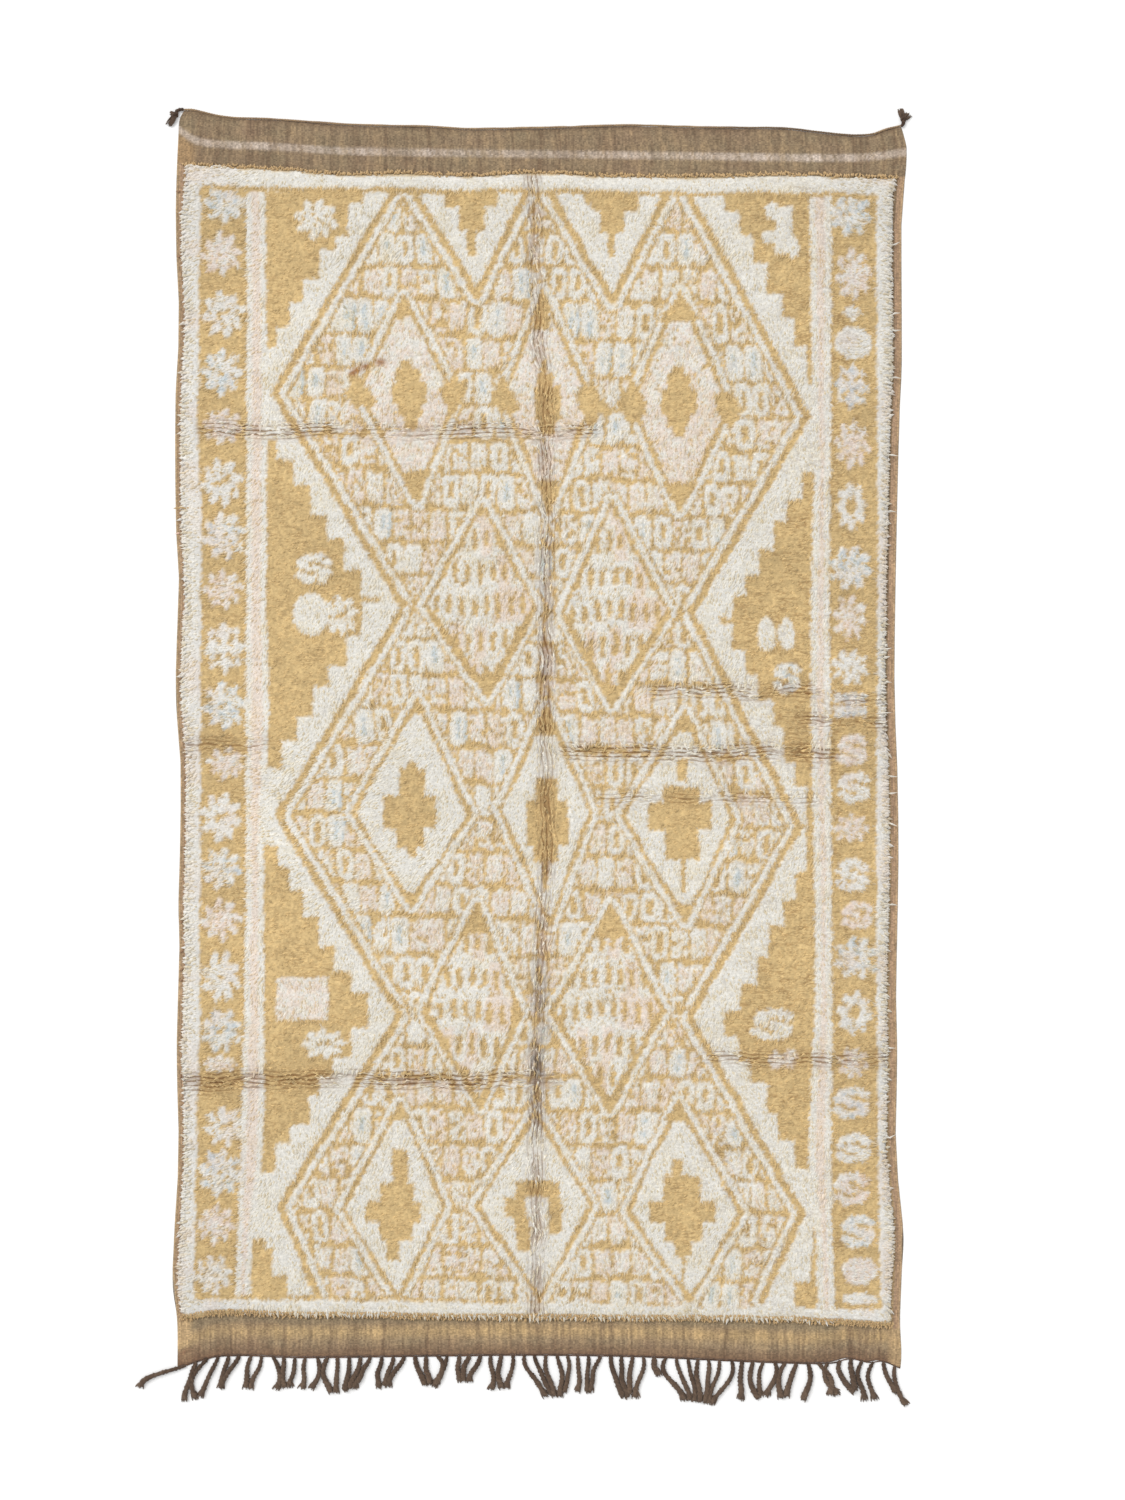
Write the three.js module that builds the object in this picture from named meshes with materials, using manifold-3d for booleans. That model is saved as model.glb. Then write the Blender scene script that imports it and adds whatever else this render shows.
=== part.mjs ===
// A hand-knotted wool rug lying flat, with a flat-woven band at each end.
// X runs across the rug, Y up its length to the end with the heading cord, and Z up.
// Sizes are in millimetres.
import * as THREE from 'three';
import Module from 'manifold-3d';
import { mergeVertices } from 'three/addons/utils/BufferGeometryUtils.js';

const RUG_WIDTH = 1800;
const RUG_LENGTH = 3036; // woven edge to woven edge, on the centre line
const CLOTH_THICK = 2.8;
const SELVEDGE_RIB = 6; // one rib of the three along each side edge
const RIB_GROOVE = 0.9;
const CLOTH_UNEVEN = 0.3;
const GAP = 0.3; // between pieces that touch
const PILE_HEIGHT = 12;
const PILE_UNEVEN = 3;
const SWELL_LENGTHS = { short: 43, middle: 61, long: 97, drift: 150 };
const LOCK_PITCH = 32; // one lock of the pile's rim to the next
const LOCK_REACH = 7; // how far a rim lock stands out past the pile's mean edge
const RIM_WIDTH = 26; // the band in which the pile slopes down to its edge
const RIM_SHOULDER = { out: 0.55, tipRise: 0.8, notchRise: 0.5 };
const CORD_DIAMETER = 6;
const BRAID_THICK = 13;
const STRAND_WIDTH = 11;
const STRAND_THICK = 8.5;
const CREAM_GOLD = 0xe0cfa4;
const OLIVE_BROWN = 0x8a7558;
const DARK_BROWN = 0x54483c;
const WOOL_ROUGHNESS = 0.95;

const halfWidth = RUG_WIDTH / 2;
const halfLength = RUG_LENGTH / 2;
const pileBase = CLOTH_THICK + GAP;

// How far each side edge lies in from the plain rectangle, from the lower end up.
const leftInsets = [
  { up: -1550, inset: 4 },
  { up: -1430, inset: 3 },
  { up: -1349, inset: -8 },
  { up: -1254, inset: -6 },
  { up: -1160, inset: -1 },
  { up: -1017, inset: 7 },
  { up: -780, inset: 2 },
  { up: -600, inset: 6 },
  { up: -488, inset: 9 },
  { up: -418, inset: 6 },
  { up: -229, inset: 11 },
  { up: -38, inset: 11 },
  { up: 103, inset: 0 },
  { up: 277, inset: 3 },
  { up: 340, inset: 8 },
  { up: 419, inset: 7 },
  { up: 540, inset: 0 },
  { up: 848, inset: -1 },
  { up: 1018, inset: 8 },
  { up: 1114, inset: 6 },
  { up: 1208, inset: 1 },
  { up: 1349, inset: 0 },
  { up: 1492, inset: 6 },
  { up: 1536, inset: 9 },
  { up: 1560, inset: 20 },
];
const rightInsets = [
  { up: -1550, inset: 9 },
  { up: -1510, inset: 7 },
  { up: -1440, inset: 10 },
  { up: -1350, inset: 9 },
  { up: -1237, inset: 1 },
  { up: -1166, inset: 6 },
  { up: -1072, inset: 16 },
  { up: -990, inset: 21 },
  { up: -780, inset: 17 },
  { up: -640, inset: 20 },
  { up: -284, inset: 14 },
  { up: -63, inset: 17 },
  { up: 126, inset: 24 },
  { up: 505, inset: 19 },
  { up: 820, inset: 11 },
  { up: 916, inset: 6 },
  { up: 1341, inset: 6 },
  { up: 1400, inset: -3 },
  { up: 1466, inset: -6 },
  { up: 1495, inset: 0 },
  { up: 1525, inset: 9 },
];

// How far the two woven ends stand out past the plain rectangle, from left to right.
const topRises = [
  { across: -880, rise: 41 },
  { across: -856, rise: 40 },
  { across: -794, rise: 26 },
  { across: -742, rise: 20 },
  { across: -665, rise: 18 },
  { across: -470, rise: 4 },
  { across: -262, rise: -1 },
  { across: -185, rise: -6 },
  { across: 0, rise: -4 },
  { across: 218, rise: 2 },
  { across: 428, rise: -3 },
  { across: 606, rise: -5 },
  { across: 680, rise: -13 },
  { across: 766, rise: -22 },
  { across: 821, rise: -20 },
  { across: 855, rise: -8 },
  { across: 890, rise: 1 },
];
const bottomDrops = [
  { across: -896, drop: 31 },
  { across: -857, drop: 16 },
  { across: -800, drop: 1 },
  { across: -730, drop: -2 },
  { across: -600, drop: 3 },
  { across: -247, drop: -1 },
  { across: 0, drop: -3 },
  { across: 247, drop: 1 },
  { across: 545, drop: 14 },
  { across: 717, drop: 17 },
  { across: 765, drop: 6 },
  { across: 815, drop: 15 },
  { across: 846, drop: 12 },
  { across: 893, drop: 30 },
];

// Where the pile begins and ends, measured in from the ends of the rectangle.
const pileEnds = [
  { across: -870, top: 92, bottom: 90 },
  { across: -800, top: 96, bottom: 100 },
  { across: -615, top: 105, bottom: 97 },
  { across: -500, top: 116, bottom: 95 },
  { across: -345, top: 113, bottom: 93 },
  { across: -160, top: 119, bottom: 91 },
  { across: 0, top: 111, bottom: 90 },
  { across: 150, top: 119, bottom: 89 },
  { across: 400, top: 121, bottom: 87 },
  { across: 655, top: 116, bottom: 83 },
  { across: 760, top: 121, bottom: 77 },
  { across: 870, top: 125, bottom: 71 },
];
const pileInset = { left: 13, right: 18 };

// Where the rug was folded lengthwise for storage, in millimetres right of the centre.
const centreFold = [
  { up: -1430, across: -6 },
  { up: -900, across: -7 },
  { up: -640, across: 0 },
  { up: -150, across: 17 },
  { up: 100, across: 15 },
  { up: 820, across: 12 },
  { up: 1060, across: -5 },
  { up: 1400, across: -17 },
];
const FOLD_HALF = { floor: 7, shoulder: 26 };
const FOLD_DEPTH = 8;

// Cross creases, each with its height up the rug, its two ends and its depth.
const crossCreases = [
  { up: -837, from: -895, to: 60, depth: 7 },
  { up: -780, from: 400, to: 870, depth: 4 },
  { up: -140, from: 120, to: 700, depth: 3 },
  { up: -28, from: 50, to: 740, depth: 6 },
  { up: 52, from: 640, to: 870, depth: 5 },
  { up: 125, from: 270, to: 690, depth: 5 },
  { up: 770, from: -845, to: 150, depth: 5 },
];
const CREASE_HALF = 15;
const CREASE_FADE = 60;
const PILE_CELL = 54;

// The fringe from left to right. Each bunch has its number of cords, how far its tips
// lie to the right of its roots, how much closer its tips lie than its roots, and how
// far below the edge they reach.
const fringeBunches = [
  { cords: 1, shift: -106, gather: 1, reach: 48 },
  { cords: 3, shift: -30, gather: 1, reach: 94 },
  { cords: 2, shift: -34, gather: 0.7, reach: 80 },
  { cords: 2, shift: -15, gather: 0.6, reach: 80 },
  { cords: 3, shift: -2, gather: 0.75, reach: 72 },
  { cords: 2, shift: -3, gather: 1, reach: 76 },
  { cords: 2, shift: 2, gather: 0.85, reach: 82 },
  { cords: 3, shift: -20, gather: 0.62, reach: 76 },
  { cords: 3, shift: -24, gather: 0.78, reach: 72 },
  { cords: 4, shift: 0, gather: 0.66, reach: 67 },
  { cords: 3, shift: -17, gather: 0.78, reach: 60 },
  { cords: 3, shift: -5, gather: 0.64, reach: 77 },
  { cords: 5, shift: 22, gather: 0.6, reach: 94 },
  { cords: 3, shift: -8, gather: 0.75, reach: 88 },
  { cords: 4, shift: -3, gather: 0.62, reach: 92 },
  { cords: 1, shift: 5, gather: 1, reach: 38 },
  { cords: 7, shift: 6, gather: 0.6, reach: 97 },
  { cords: 1, shift: 4, gather: 1, reach: 90 },
  { cords: 3, shift: -10, gather: 0.8, reach: 82 },
  { cords: 2, shift: -13, gather: 0.75, reach: 80 },
  { cords: 1, shift: -8, gather: 1, reach: 82 },
  { cords: 2, shift: 24, gather: 0.62, reach: 74 },
  { cords: 2, shift: 20, gather: 0.66, reach: 70 },
  { cords: 2, shift: 8, gather: 0.95, reach: 88 },
  { cords: 1, shift: 24, gather: 1, reach: 76 },
  { cords: 1, shift: 20, gather: 1, reach: 96 },
];
const FRINGE_ENDS = { left: -876, right: 876 };
const STRIP = { depth: 6, low: 0.3, high: 2.4 };

// The cord's two tails at the top corners. Each has a neck up to a knot, and beyond the
// knot two loose locks, given by how far across and up they run.
const cornerBraids = [
  {
    name: 'corner_braid_left',
    side: -1,
    neck: { across: -20, up: -14 },
    locks: [{ across: -15, up: 6, width: 9 }, { across: -18, up: -26, width: 15 }],
  },
  {
    name: 'corner_braid_right',
    side: 1,
    neck: { across: 6, up: 15 },
    locks: [{ across: -7, up: 27, width: 11 }, { across: 17, up: 14, width: 14 }],
  },
];

const wasm = await Module();
wasm.setup();

const mix = (a, b, t) => a + (b - a) * t;
const clamp = (value) => Math.min(Math.max(value, 0), 1);
const ease = (t) => clamp(t) ** 2 * (3 - 2 * clamp(t));

// A repeatable number from 0 to 1 for any pair of counts.
function chance(a, b) {
  const wild = Math.sin(a * 127.1 + b * 311.7) * 43758.5453;
  return wild - Math.floor(wild);
}

// Reads a smooth curve through a table's rows, which are in order of their key.
function readCurve(rows, key, column, at) {
  const last = rows.length - 1;
  let i = 0;
  while (i < last - 1 && at > rows[i + 1][key]) {
    i += 1;
  }
  const slope = (a, b) => (rows[b][column] - rows[a][column]) / (rows[b][key] - rows[a][key]);
  const span = rows[i + 1][key] - rows[i][key];
  const t = clamp((at - rows[i][key]) / span);
  const leave = slope(Math.max(i - 1, 0), i + 1) * span;
  const arrive = slope(i, Math.min(i + 2, last)) * span;
  const [a, b] = [rows[i][column], rows[i + 1][column]];
  const bend = (3 * (b - a) - 2 * leave - arrive) * t ** 2;
  return a + leave * t + bend + (2 * (a - b) + leave + arrive) * t ** 3;
}

const leftEdge = (up) => readCurve(leftInsets, 'up', 'inset', up) - halfWidth;
const rightEdge = (up) => halfWidth - readCurve(rightInsets, 'up', 'inset', up);
const topEdge = (across) => halfLength + readCurve(topRises, 'across', 'rise', across);
const bottomEdge = (across) => -halfLength - readCurve(bottomDrops, 'across', 'drop', across);

function named(name, geometry, color) {
  geometry.computeVertexNormals();
  const material = new THREE.MeshStandardMaterial({ color, roughness: WOOL_ROUGHNESS, metalness: 0 });
  const mesh = new THREE.Mesh(geometry, material);
  mesh.name = name;
  return mesh;
}

function shellFrom(points, faces) {
  const geometry = new THREE.BufferGeometry();
  geometry.setAttribute('position', new THREE.Float32BufferAttribute(points.flat(), 3));
  geometry.setIndex(faces.flat());
  return geometry;
}

// The flat underside of a shell, whose rim is listed anticlockwise as seen from above.
function undersideFaces(points, rim) {
  const outline = rim.map((i) => new THREE.Vector2(points[i][0], points[i][1]));
  const faces = THREE.ShapeUtils.triangulateShape(outline, []);
  return faces.map(([a, b, c]) => [rim[a], rim[c], rim[b]]);
}

// The quads of a grid of points in rows, each cut along its shorter diagonal.
function gridFaces(points, columns, rows) {
  const faces = [];
  const apart = (a, b) => Math.hypot(...points[a].map((v, k) => v - points[b][k]));
  for (let j = 0; j < rows - 1; j += 1) {
    for (let i = 0; i < columns - 1; i += 1) {
      const a = j * columns + i;
      const [b, c, d] = [a + 1, a + columns + 1, a + columns];
      if (apart(a, c) < apart(b, d)) {
        faces.push([a, b, c], [a, c, d]);
      } else {
        faces.push([a, b, d], [b, c, d]);
      }
    }
  }
  return faces;
}

// The grid's outer points, anticlockwise from its lower left corner.
function gridRim(columns, rows) {
  const run = (count, from, step) => Array.from({ length: count }, (_, k) => from + k * step);
  return [
    ...run(columns - 1, 0, 1),
    ...run(rows - 1, columns - 1, columns),
    ...run(columns - 1, rows * columns - 1, -1),
    ...run(rows - 1, (rows - 1) * columns, -columns),
  ];
}

const evenSteps = (from, to, count) =>
  Array.from({ length: count + 1 }, (_, i) => mix(from, to, i / count));

// The woven foundation: plain weave in the middle and at the ends, ribs at the sides.
const RIBS = 3;
const CORNER_WIDTH = 180; // the corners are the most uneven, so they get finer cells
const BAND_DEPTH = 110; // the flat-woven band at each end
const clothColumns = (() => {
  const ribs = evenSteps(0, RIBS * SELVEDGE_RIB, RIBS * 2).map((d) => d - halfWidth);
  const corner = evenSteps(ribs.at(-1), CORNER_WIDTH - halfWidth, 5).slice(1);
  const middle = evenSteps(corner.at(-1), -corner.at(-1), 12).slice(1, -1);
  const left = [...ribs, ...corner];
  return [...left, ...middle, ...left.map((x) => -x).reverse()];
})();
const clothRows = [
  ...evenSteps(-halfLength, BAND_DEPTH - halfLength, 3),
  ...evenSteps(CORNER_WIDTH - halfLength, halfLength - CORNER_WIDTH, 32),
  ...evenSteps(halfLength - BAND_DEPTH, halfLength, 4),
];

function clothPlace(across, up) {
  const t = (up + halfLength) / RUG_LENGTH;
  const y = mix(bottomEdge(across), topEdge(across), t);
  const s = (across + halfWidth) / RUG_WIDTH;
  return [mix(leftEdge(y), rightEdge(y), s), y];
}

function makeGroundCloth() {
  const points = [];
  clothRows.forEach((up, j) => {
    clothColumns.forEach((across, i) => {
      const fromSide = Math.min(i, clothColumns.length - 1 - i);
      const inRibs = fromSide <= RIBS * 2;
      const groove = inRibs && fromSide % 2 === 0 ? RIB_GROOVE : 0;
      const worn = CLOTH_UNEVEN * chance(i, j);
      points.push([...clothPlace(across, up), CLOTH_THICK - groove - worn]);
    });
  });
  const [columns, rows] = [clothColumns.length, clothRows.length];
  const faces = gridFaces(points, columns, rows);
  const rim = gridRim(columns, rows);
  const foot = rim.map((i) => points.push([points[i][0], points[i][1], 0]) - 1);
  rim.forEach((top, k) => {
    const next = (k + 1) % rim.length;
    faces.push([top, foot[k], foot[next]], [top, foot[next], rim[next]]);
  });
  faces.push(...undersideFaces(points, foot));
  return named('ground_cloth', shellFrom(points, faces), OLIVE_BROWN);
}

// The knotted pile: a lumpy slab with the folds pressed in and locks around its rim.
const foldAt = (up) => readCurve(centreFold, 'up', 'across', up);
const pileLeft = (up) => leftEdge(up) + pileInset.left;
const pileRight = (up) => rightEdge(up) - pileInset.right;
const pileTop = (x) => halfLength - readCurve(pileEnds, 'across', 'top', x);
const pileBottom = (x) => readCurve(pileEnds, 'across', 'bottom', x) - halfLength;

function pileRowHeights() {
  const start = pileBottom(0) + RIM_WIDTH;
  const end = pileTop(0) - RIM_WIDTH;
  const pressed = crossCreases.flatMap(({ up }) => [up - CREASE_HALF, up, up + CREASE_HALF]);
  const plain = evenSteps(start, end, Math.round((end - start) / PILE_CELL));
  const clear = (up) => pressed.every((other) => Math.abs(other - up) > PILE_CELL / 3);
  return [...plain.filter(clear), ...pressed].sort((a, b) => a - b);
}

function pileRowPlaces(up) {
  const fold = foldAt(up);
  const left = pileLeft(up) + RIM_WIDTH;
  const right = pileRight(up) - RIM_WIDTH;
  const { floor, shoulder } = FOLD_HALF;
  const side = Math.round((halfWidth - RIM_WIDTH) / PILE_CELL);
  return [
    ...evenSteps(left, fold - shoulder, side),
    fold - floor,
    fold + floor,
    ...evenSteps(fold + shoulder, right, side),
  ];
}

function creaseDepth(x, up) {
  const depths = crossCreases.map(({ up: at, from, to, depth }) => {
    const ends = ease((x - from) / CREASE_FADE) * ease((to - x) / CREASE_FADE);
    return depth * ends * clamp(1 - Math.abs(up - at) / CREASE_HALF);
  });
  return Math.max(...depths);
}

function pileHeight(x, y, i, j) {
  const { short, middle, long, drift } = SWELL_LENGTHS;
  const swell = Math.sin(x / middle + 2 * Math.sin(y / long)) + Math.sin(y / short + x / drift);
  const lump = swell / 4 + chance(i, j) - 0.5;
  const { floor, shoulder } = FOLD_HALF;
  const offFold = (Math.abs(x - foldAt(y)) - floor) / (shoulder - floor);
  const pressed = Math.max(FOLD_DEPTH * clamp(1 - offFold), creaseDepth(x, y));
  return pileBase + PILE_HEIGHT + PILE_UNEVEN * lump - pressed;
}

function makeWoolPile() {
  const heights = pileRowHeights();
  const columns = pileRowPlaces(0).length;
  const endBlend = 4 * PILE_CELL;
  const points = [];
  heights.forEach((up, j) => {
    pileRowPlaces(up).forEach((x, i) => {
      const nearTop = ease(1 - (pileTop(0) - up) / endBlend);
      const nearFoot = ease(1 - (up - pileBottom(0)) / endBlend);
      const bend = nearTop * (pileTop(x) - pileTop(0)) + nearFoot * (pileBottom(x) - pileBottom(0));
      points.push([x, up + bend, pileHeight(x, up, i, j)]);
    });
  });
  const faces = gridFaces(points, columns, heights.length);
  faces.push(...rimOfLocks(points, gridRim(columns, heights.length)));
  return named('wool_pile', shellFrom(points, faces), CREAM_GOLD);
}

// Slopes the pile down from its grid to its edge, where it breaks up into locks that
// taper to nothing. Adds the new points to the list, and gives back the faces.
function rimOfLocks(points, rim) {
  const count = rim.length;
  const flat = rim.map((i) => new THREE.Vector2(points[i][0], points[i][1]));
  const outward = flat.map((at, k) => {
    const before = flat[(k + count - 1) % count];
    const after = flat[(k + 1) % count];
    const turnIn = new THREE.Vector2().subVectors(at, before).normalize();
    const turnOut = new THREE.Vector2().subVectors(after, at).normalize();
    const along = turnIn.clone().add(turnOut).normalize();
    const spread = 1 / Math.max(along.dot(turnOut), 0.6);
    return new THREE.Vector2(along.y, -along.x).multiplyScalar(spread);
  });
  const lengths = flat.map((at, k) => at.distanceTo(flat[(k + 1) % count]));
  const shoulder = [];
  const edge = [];
  const where = [];
  const around = lengths.reduce((sum, length) => sum + length, 0);
  const steps = 2 * Math.round(around / LOCK_PITCH);
  let [segment, passed] = [0, 0];
  for (let n = 0; n < steps; n += 1) {
    const target = (around * n) / steps;
    while (passed + lengths[segment] < target) {
      passed += lengths[segment];
      segment += 1;
    }
    const t = (target - passed) / lengths[segment];
    const next = (segment + 1) % count;
    const foot = flat[segment].clone().lerp(flat[next], t);
    const out = outward[segment].clone().lerp(outward[next], t);
    const isTip = n % 2 === 0;
    const jag = (isTip ? 1 : -1) * LOCK_REACH * mix(0.5, 1, chance(n, 7));
    const rise = PILE_HEIGHT * (isTip ? RIM_SHOULDER.tipRise : RIM_SHOULDER.notchRise);
    const onShoulder = foot.clone().addScaledVector(out, RIM_WIDTH * RIM_SHOULDER.out);
    const onEdge = foot.clone().addScaledVector(out, RIM_WIDTH + jag);
    shoulder.push(points.push([...onShoulder.toArray(), pileBase + rise]) - 1);
    edge.push(points.push([...onEdge.toArray(), pileBase]) - 1);
    where.push(segment + t);
  }
  const faces = [];
  let k = 0;
  for (let n = 0; n < steps; n += 1) {
    const next = (n + 1) % steps;
    const end = next === 0 ? count : where[next];
    while (k < count && k + 0.5 < (where[n] + end) / 2) {
      faces.push([rim[k], shoulder[n], rim[(k + 1) % count]]);
      k += 1;
    }
    faces.push([rim[k % count], shoulder[n], shoulder[next]]);
    faces.push([shoulder[n], edge[n], edge[next]], [shoulder[n], edge[next], shoulder[next]]);
  }
  while (k < count) {
    faces.push([rim[k], shoulder[0], rim[(k + 1) % count]]);
    k += 1;
  }
  faces.push(...undersideFaces(points, edge));
  return faces;
}

// A closed tube through sections of equal point counts, each listed clockwise as seen
// from the start, looking along the tube.
function tubeThrough(sections) {
  const sides = sections[0].length;
  const points = sections.flat();
  const faces = [];
  for (let j = 0; j < sections.length - 1; j += 1) {
    for (let i = 0; i < sides; i += 1) {
      const a = j * sides + i;
      const b = j * sides + ((i + 1) % sides);
      faces.push([a, b, b + sides], [a, b + sides, a + sides]);
    }
  }
  const end = (sections.length - 1) * sides;
  for (let i = 1; i < sides - 1; i += 1) {
    faces.push([0, i + 1, i], [end, end + i, end + i + 1]);
  }
  return shellFrom(points, faces);
}

function asManifold(geometry) {
  const bare = geometry.clone();
  bare.deleteAttribute('normal');
  bare.deleteAttribute('uv');
  const merged = mergeVertices(bare);
  const vertProperties = new Float32Array(merged.attributes.position.array);
  const triVerts = new Uint32Array(merged.index.array);
  return new wasm.Manifold(new wasm.Mesh({ numProp: 3, vertProperties, triVerts }));
}

function joined(geometries) {
  const whole = geometries.map(asManifold).reduce((sum, part) => sum.add(part));
  const { vertProperties, triVerts } = whole.getMesh();
  const geometry = new THREE.BufferGeometry();
  geometry.setAttribute('position', new THREE.Float32BufferAttribute(vertProperties, 3));
  geometry.setIndex(new THREE.Uint32BufferAttribute(triVerts, 1));
  return geometry;
}

// Where the cloth's end edge runs, along the straight faces between its own columns.
const topCorners = clothColumns.map((across) => clothPlace(across, halfLength));
const bottomCorners = clothColumns.map((across) => clothPlace(across, -halfLength));
function alongCorners(corners, x) {
  let i = 0;
  while (i < corners.length - 2 && x > corners[i + 1][0]) {
    i += 1;
  }
  const [[x0, y0], [x1, y1]] = [corners[i], corners[i + 1]];
  return mix(y0, y1, (x - x0) / (x1 - x0));
}

// The cord lies on the floor against the edge, so its six-sided section stands flat.
const CORD_STEP = 34;
function makeHeadingCord() {
  const radius = CORD_DIAMETER / 2;
  const [start, end] = [topCorners[0][0], topCorners.at(-1)[0]];
  const places = evenSteps(start, end, Math.round((end - start) / CORD_STEP));
  const corners = topCorners.slice(1, -1).map(([x]) => x);
  const all = [...places, ...corners].sort((a, b) => a - b);
  const apart = all.filter((x, i) => i === 0 || x - all[i - 1] > 3 || corners.includes(x));
  const flatHeight = radius * Math.cos(Math.PI / 6);
  const sections = apart.map((x) => {
    const y = alongCorners(topCorners, x) + GAP + radius;
    return Array.from({ length: 6 }, (_, k) => {
      const turn = (k * Math.PI) / 3;
      return [x, y + radius * Math.cos(turn), flatHeight + radius * Math.sin(turn)];
    });
  });
  return named('heading_cord', tubeThrough(sections), DARK_BROWN);
}

// A strand lying on the floor: four sides, flat below, along a bend in plan.
function strand({ bend, widths, heights, lifts }) {
  const sections = widths.map((width, k) => {
    const t = k / (widths.length - 1);
    const at = bend.getPoint(t);
    const ahead = bend.getTangent(t);
    const [sideX, sideY] = [-ahead.y, ahead.x];
    const corner = (s, z) => [at.x + (sideX * s * width) / 2, at.y + (sideY * s * width) / 2, z];
    const [low, high] = [lifts[k], lifts[k] + heights[k]];
    return [corner(1, low), corner(0.6, high), corner(-0.6, high), corner(-1, low)];
  });
  return tubeThrough(sections);
}

const flatPoint = (x, y) => new THREE.Vector2(x, y);

function fringeStrand(rootX, tipX, reach) {
  const rootY = alongCorners(bottomCorners, rootX) - GAP - STRIP.depth / 2;
  const tipY = rootY - reach;
  const bend = new THREE.CubicBezierCurve(
    flatPoint(rootX, rootY),
    flatPoint(mix(rootX, tipX, 0.18), mix(rootY, tipY, 0.35)),
    flatPoint(mix(rootX, tipX, 0.85), mix(rootY, tipY, 0.6)),
    flatPoint(tipX, tipY),
  );
  const wide = STRAND_WIDTH;
  const thick = STRAND_THICK;
  return strand({
    bend,
    widths: [wide * 0.5, wide * 0.9, wide, wide, wide * 0.6],
    heights: [1.2, thick * 0.8, thick, thick * 0.9, thick * 0.4],
    lifts: [STRIP.low + 0.3, 0, 0, 0, 0],
  });
}

function makeWarpFringe() {
  const cords = fringeBunches.reduce((sum, bunch) => sum + bunch.cords, 0);
  const pitch = (FRINGE_ENDS.right - FRINGE_ENDS.left) / (cords - 1);
  const strands = [];
  let first = 0;
  for (const bunch of fringeBunches) {
    const middle = first + (bunch.cords - 1) / 2;
    for (let k = first; k < first + bunch.cords; k += 1) {
      const rootX = FRINGE_ENDS.left + pitch * (k + 0.16 * (chance(k, 3) - 0.5));
      const tipX = FRINGE_ENDS.left + pitch * mix(middle, k, bunch.gather) + bunch.shift;
      strands.push(fringeStrand(rootX, tipX, bunch.reach * mix(0.92, 1.05, chance(k, 5))));
    }
    first += bunch.cords;
  }
  const { depth, low, high } = STRIP;
  const strip = bottomCorners.map(([x, y]) => {
    const [near, far] = [y - GAP, y - GAP - depth];
    return [[x, near, low], [x, near, high], [x, far, high], [x, far, low]];
  });
  return named('warp_fringe', joined([tubeThrough(strip), ...strands]), DARK_BROWN);
}

// A tail that leaves the cord's end, lies on the floor and splits past its knot.
function makeCornerBraid({ name, side, neck, locks }) {
  const corner = side < 0 ? topCorners[0] : topCorners.at(-1);
  const root = flatPoint(corner[0] + side * GAP, corner[1] + GAP + CORD_DIAMETER / 2);
  const knot = flatPoint(root.x + neck.across, root.y + neck.up);
  const wide = BRAID_THICK;
  const lockFrom = ({ across, up, width }) => strand({
    bend: new THREE.QuadraticBezierCurve(
      knot,
      flatPoint(knot.x + across * 0.55, knot.y + up * 0.4),
      flatPoint(knot.x + across, knot.y + up),
    ),
    widths: [width * 0.4, width * 0.9, width, width * 0.9, width * 0.4],
    heights: [wide * 0.3, wide * 0.5, wide * 0.55, wide * 0.45, wide * 0.25],
    lifts: [1, 0, 0, 0, 0],
  });
  const tail = strand({
    bend: new THREE.QuadraticBezierCurve(
      root,
      flatPoint(root.x + neck.across * 0.9, root.y),
      knot,
    ),
    widths: [CORD_DIAMETER, CORD_DIAMETER * 1.4, wide * 0.8],
    heights: [CORD_DIAMETER * 0.8, CORD_DIAMETER, wide * 0.6],
    lifts: [0.2, 0, 0],
  });
  const ball = new THREE.SphereGeometry(wide / 2, 8, 6);
  const place = ball.attributes.position;
  for (let i = 0; i < place.count; i += 1) {
    const level = Math.max(place.getZ(i) + wide * 0.36, 0);
    place.setXYZ(i, place.getX(i) + knot.x, place.getY(i) + knot.y, level);
  }
  return named(name, joined([ball, tail, ...locks.map(lockFrom)]), DARK_BROWN);
}

const rug = new THREE.Group();
rug.add(makeGroundCloth(), makeWoolPile(), makeHeadingCord(), makeWarpFringe());
rug.add(...cornerBraids.map(makeCornerBraid));

// The origin is under the middle of the whole thing, on the surface it lies on.
const extent = new THREE.Box3().setFromObject(rug);
const middle = extent.getCenter(new THREE.Vector3());
rug.position.set(-middle.x, -middle.y, -extent.min.z);

const part = new THREE.Group();
part.add(rug);
export default part;
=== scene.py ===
import math

import bpy
import numpy as np
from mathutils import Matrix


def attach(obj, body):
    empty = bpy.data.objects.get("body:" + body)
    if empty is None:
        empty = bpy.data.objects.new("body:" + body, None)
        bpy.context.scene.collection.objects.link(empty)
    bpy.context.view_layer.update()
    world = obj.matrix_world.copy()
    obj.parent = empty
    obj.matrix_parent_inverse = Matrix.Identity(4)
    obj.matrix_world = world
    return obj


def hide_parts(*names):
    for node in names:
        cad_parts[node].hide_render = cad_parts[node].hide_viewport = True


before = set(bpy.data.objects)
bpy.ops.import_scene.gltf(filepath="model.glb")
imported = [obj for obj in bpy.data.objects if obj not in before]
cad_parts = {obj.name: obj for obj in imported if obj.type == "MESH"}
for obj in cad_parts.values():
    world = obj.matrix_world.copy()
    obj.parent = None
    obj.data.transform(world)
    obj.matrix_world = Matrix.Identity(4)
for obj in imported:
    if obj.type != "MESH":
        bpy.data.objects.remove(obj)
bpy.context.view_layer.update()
bpy.ops.object.select_all(action="DESELECT")

# The stage. The camera looks straight down on the rug, a little right of its middle, and
# the floor is plain and pale, under one far soft light and an even white surround.
# None of it is part of the rug.
VIEW_LENGTH = 3.7088  # what the long side of the picture spans on the floor
VIEW_CENTRE = (0.0888, 0.0172)
LENS = 60
SENSOR = 36

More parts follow.
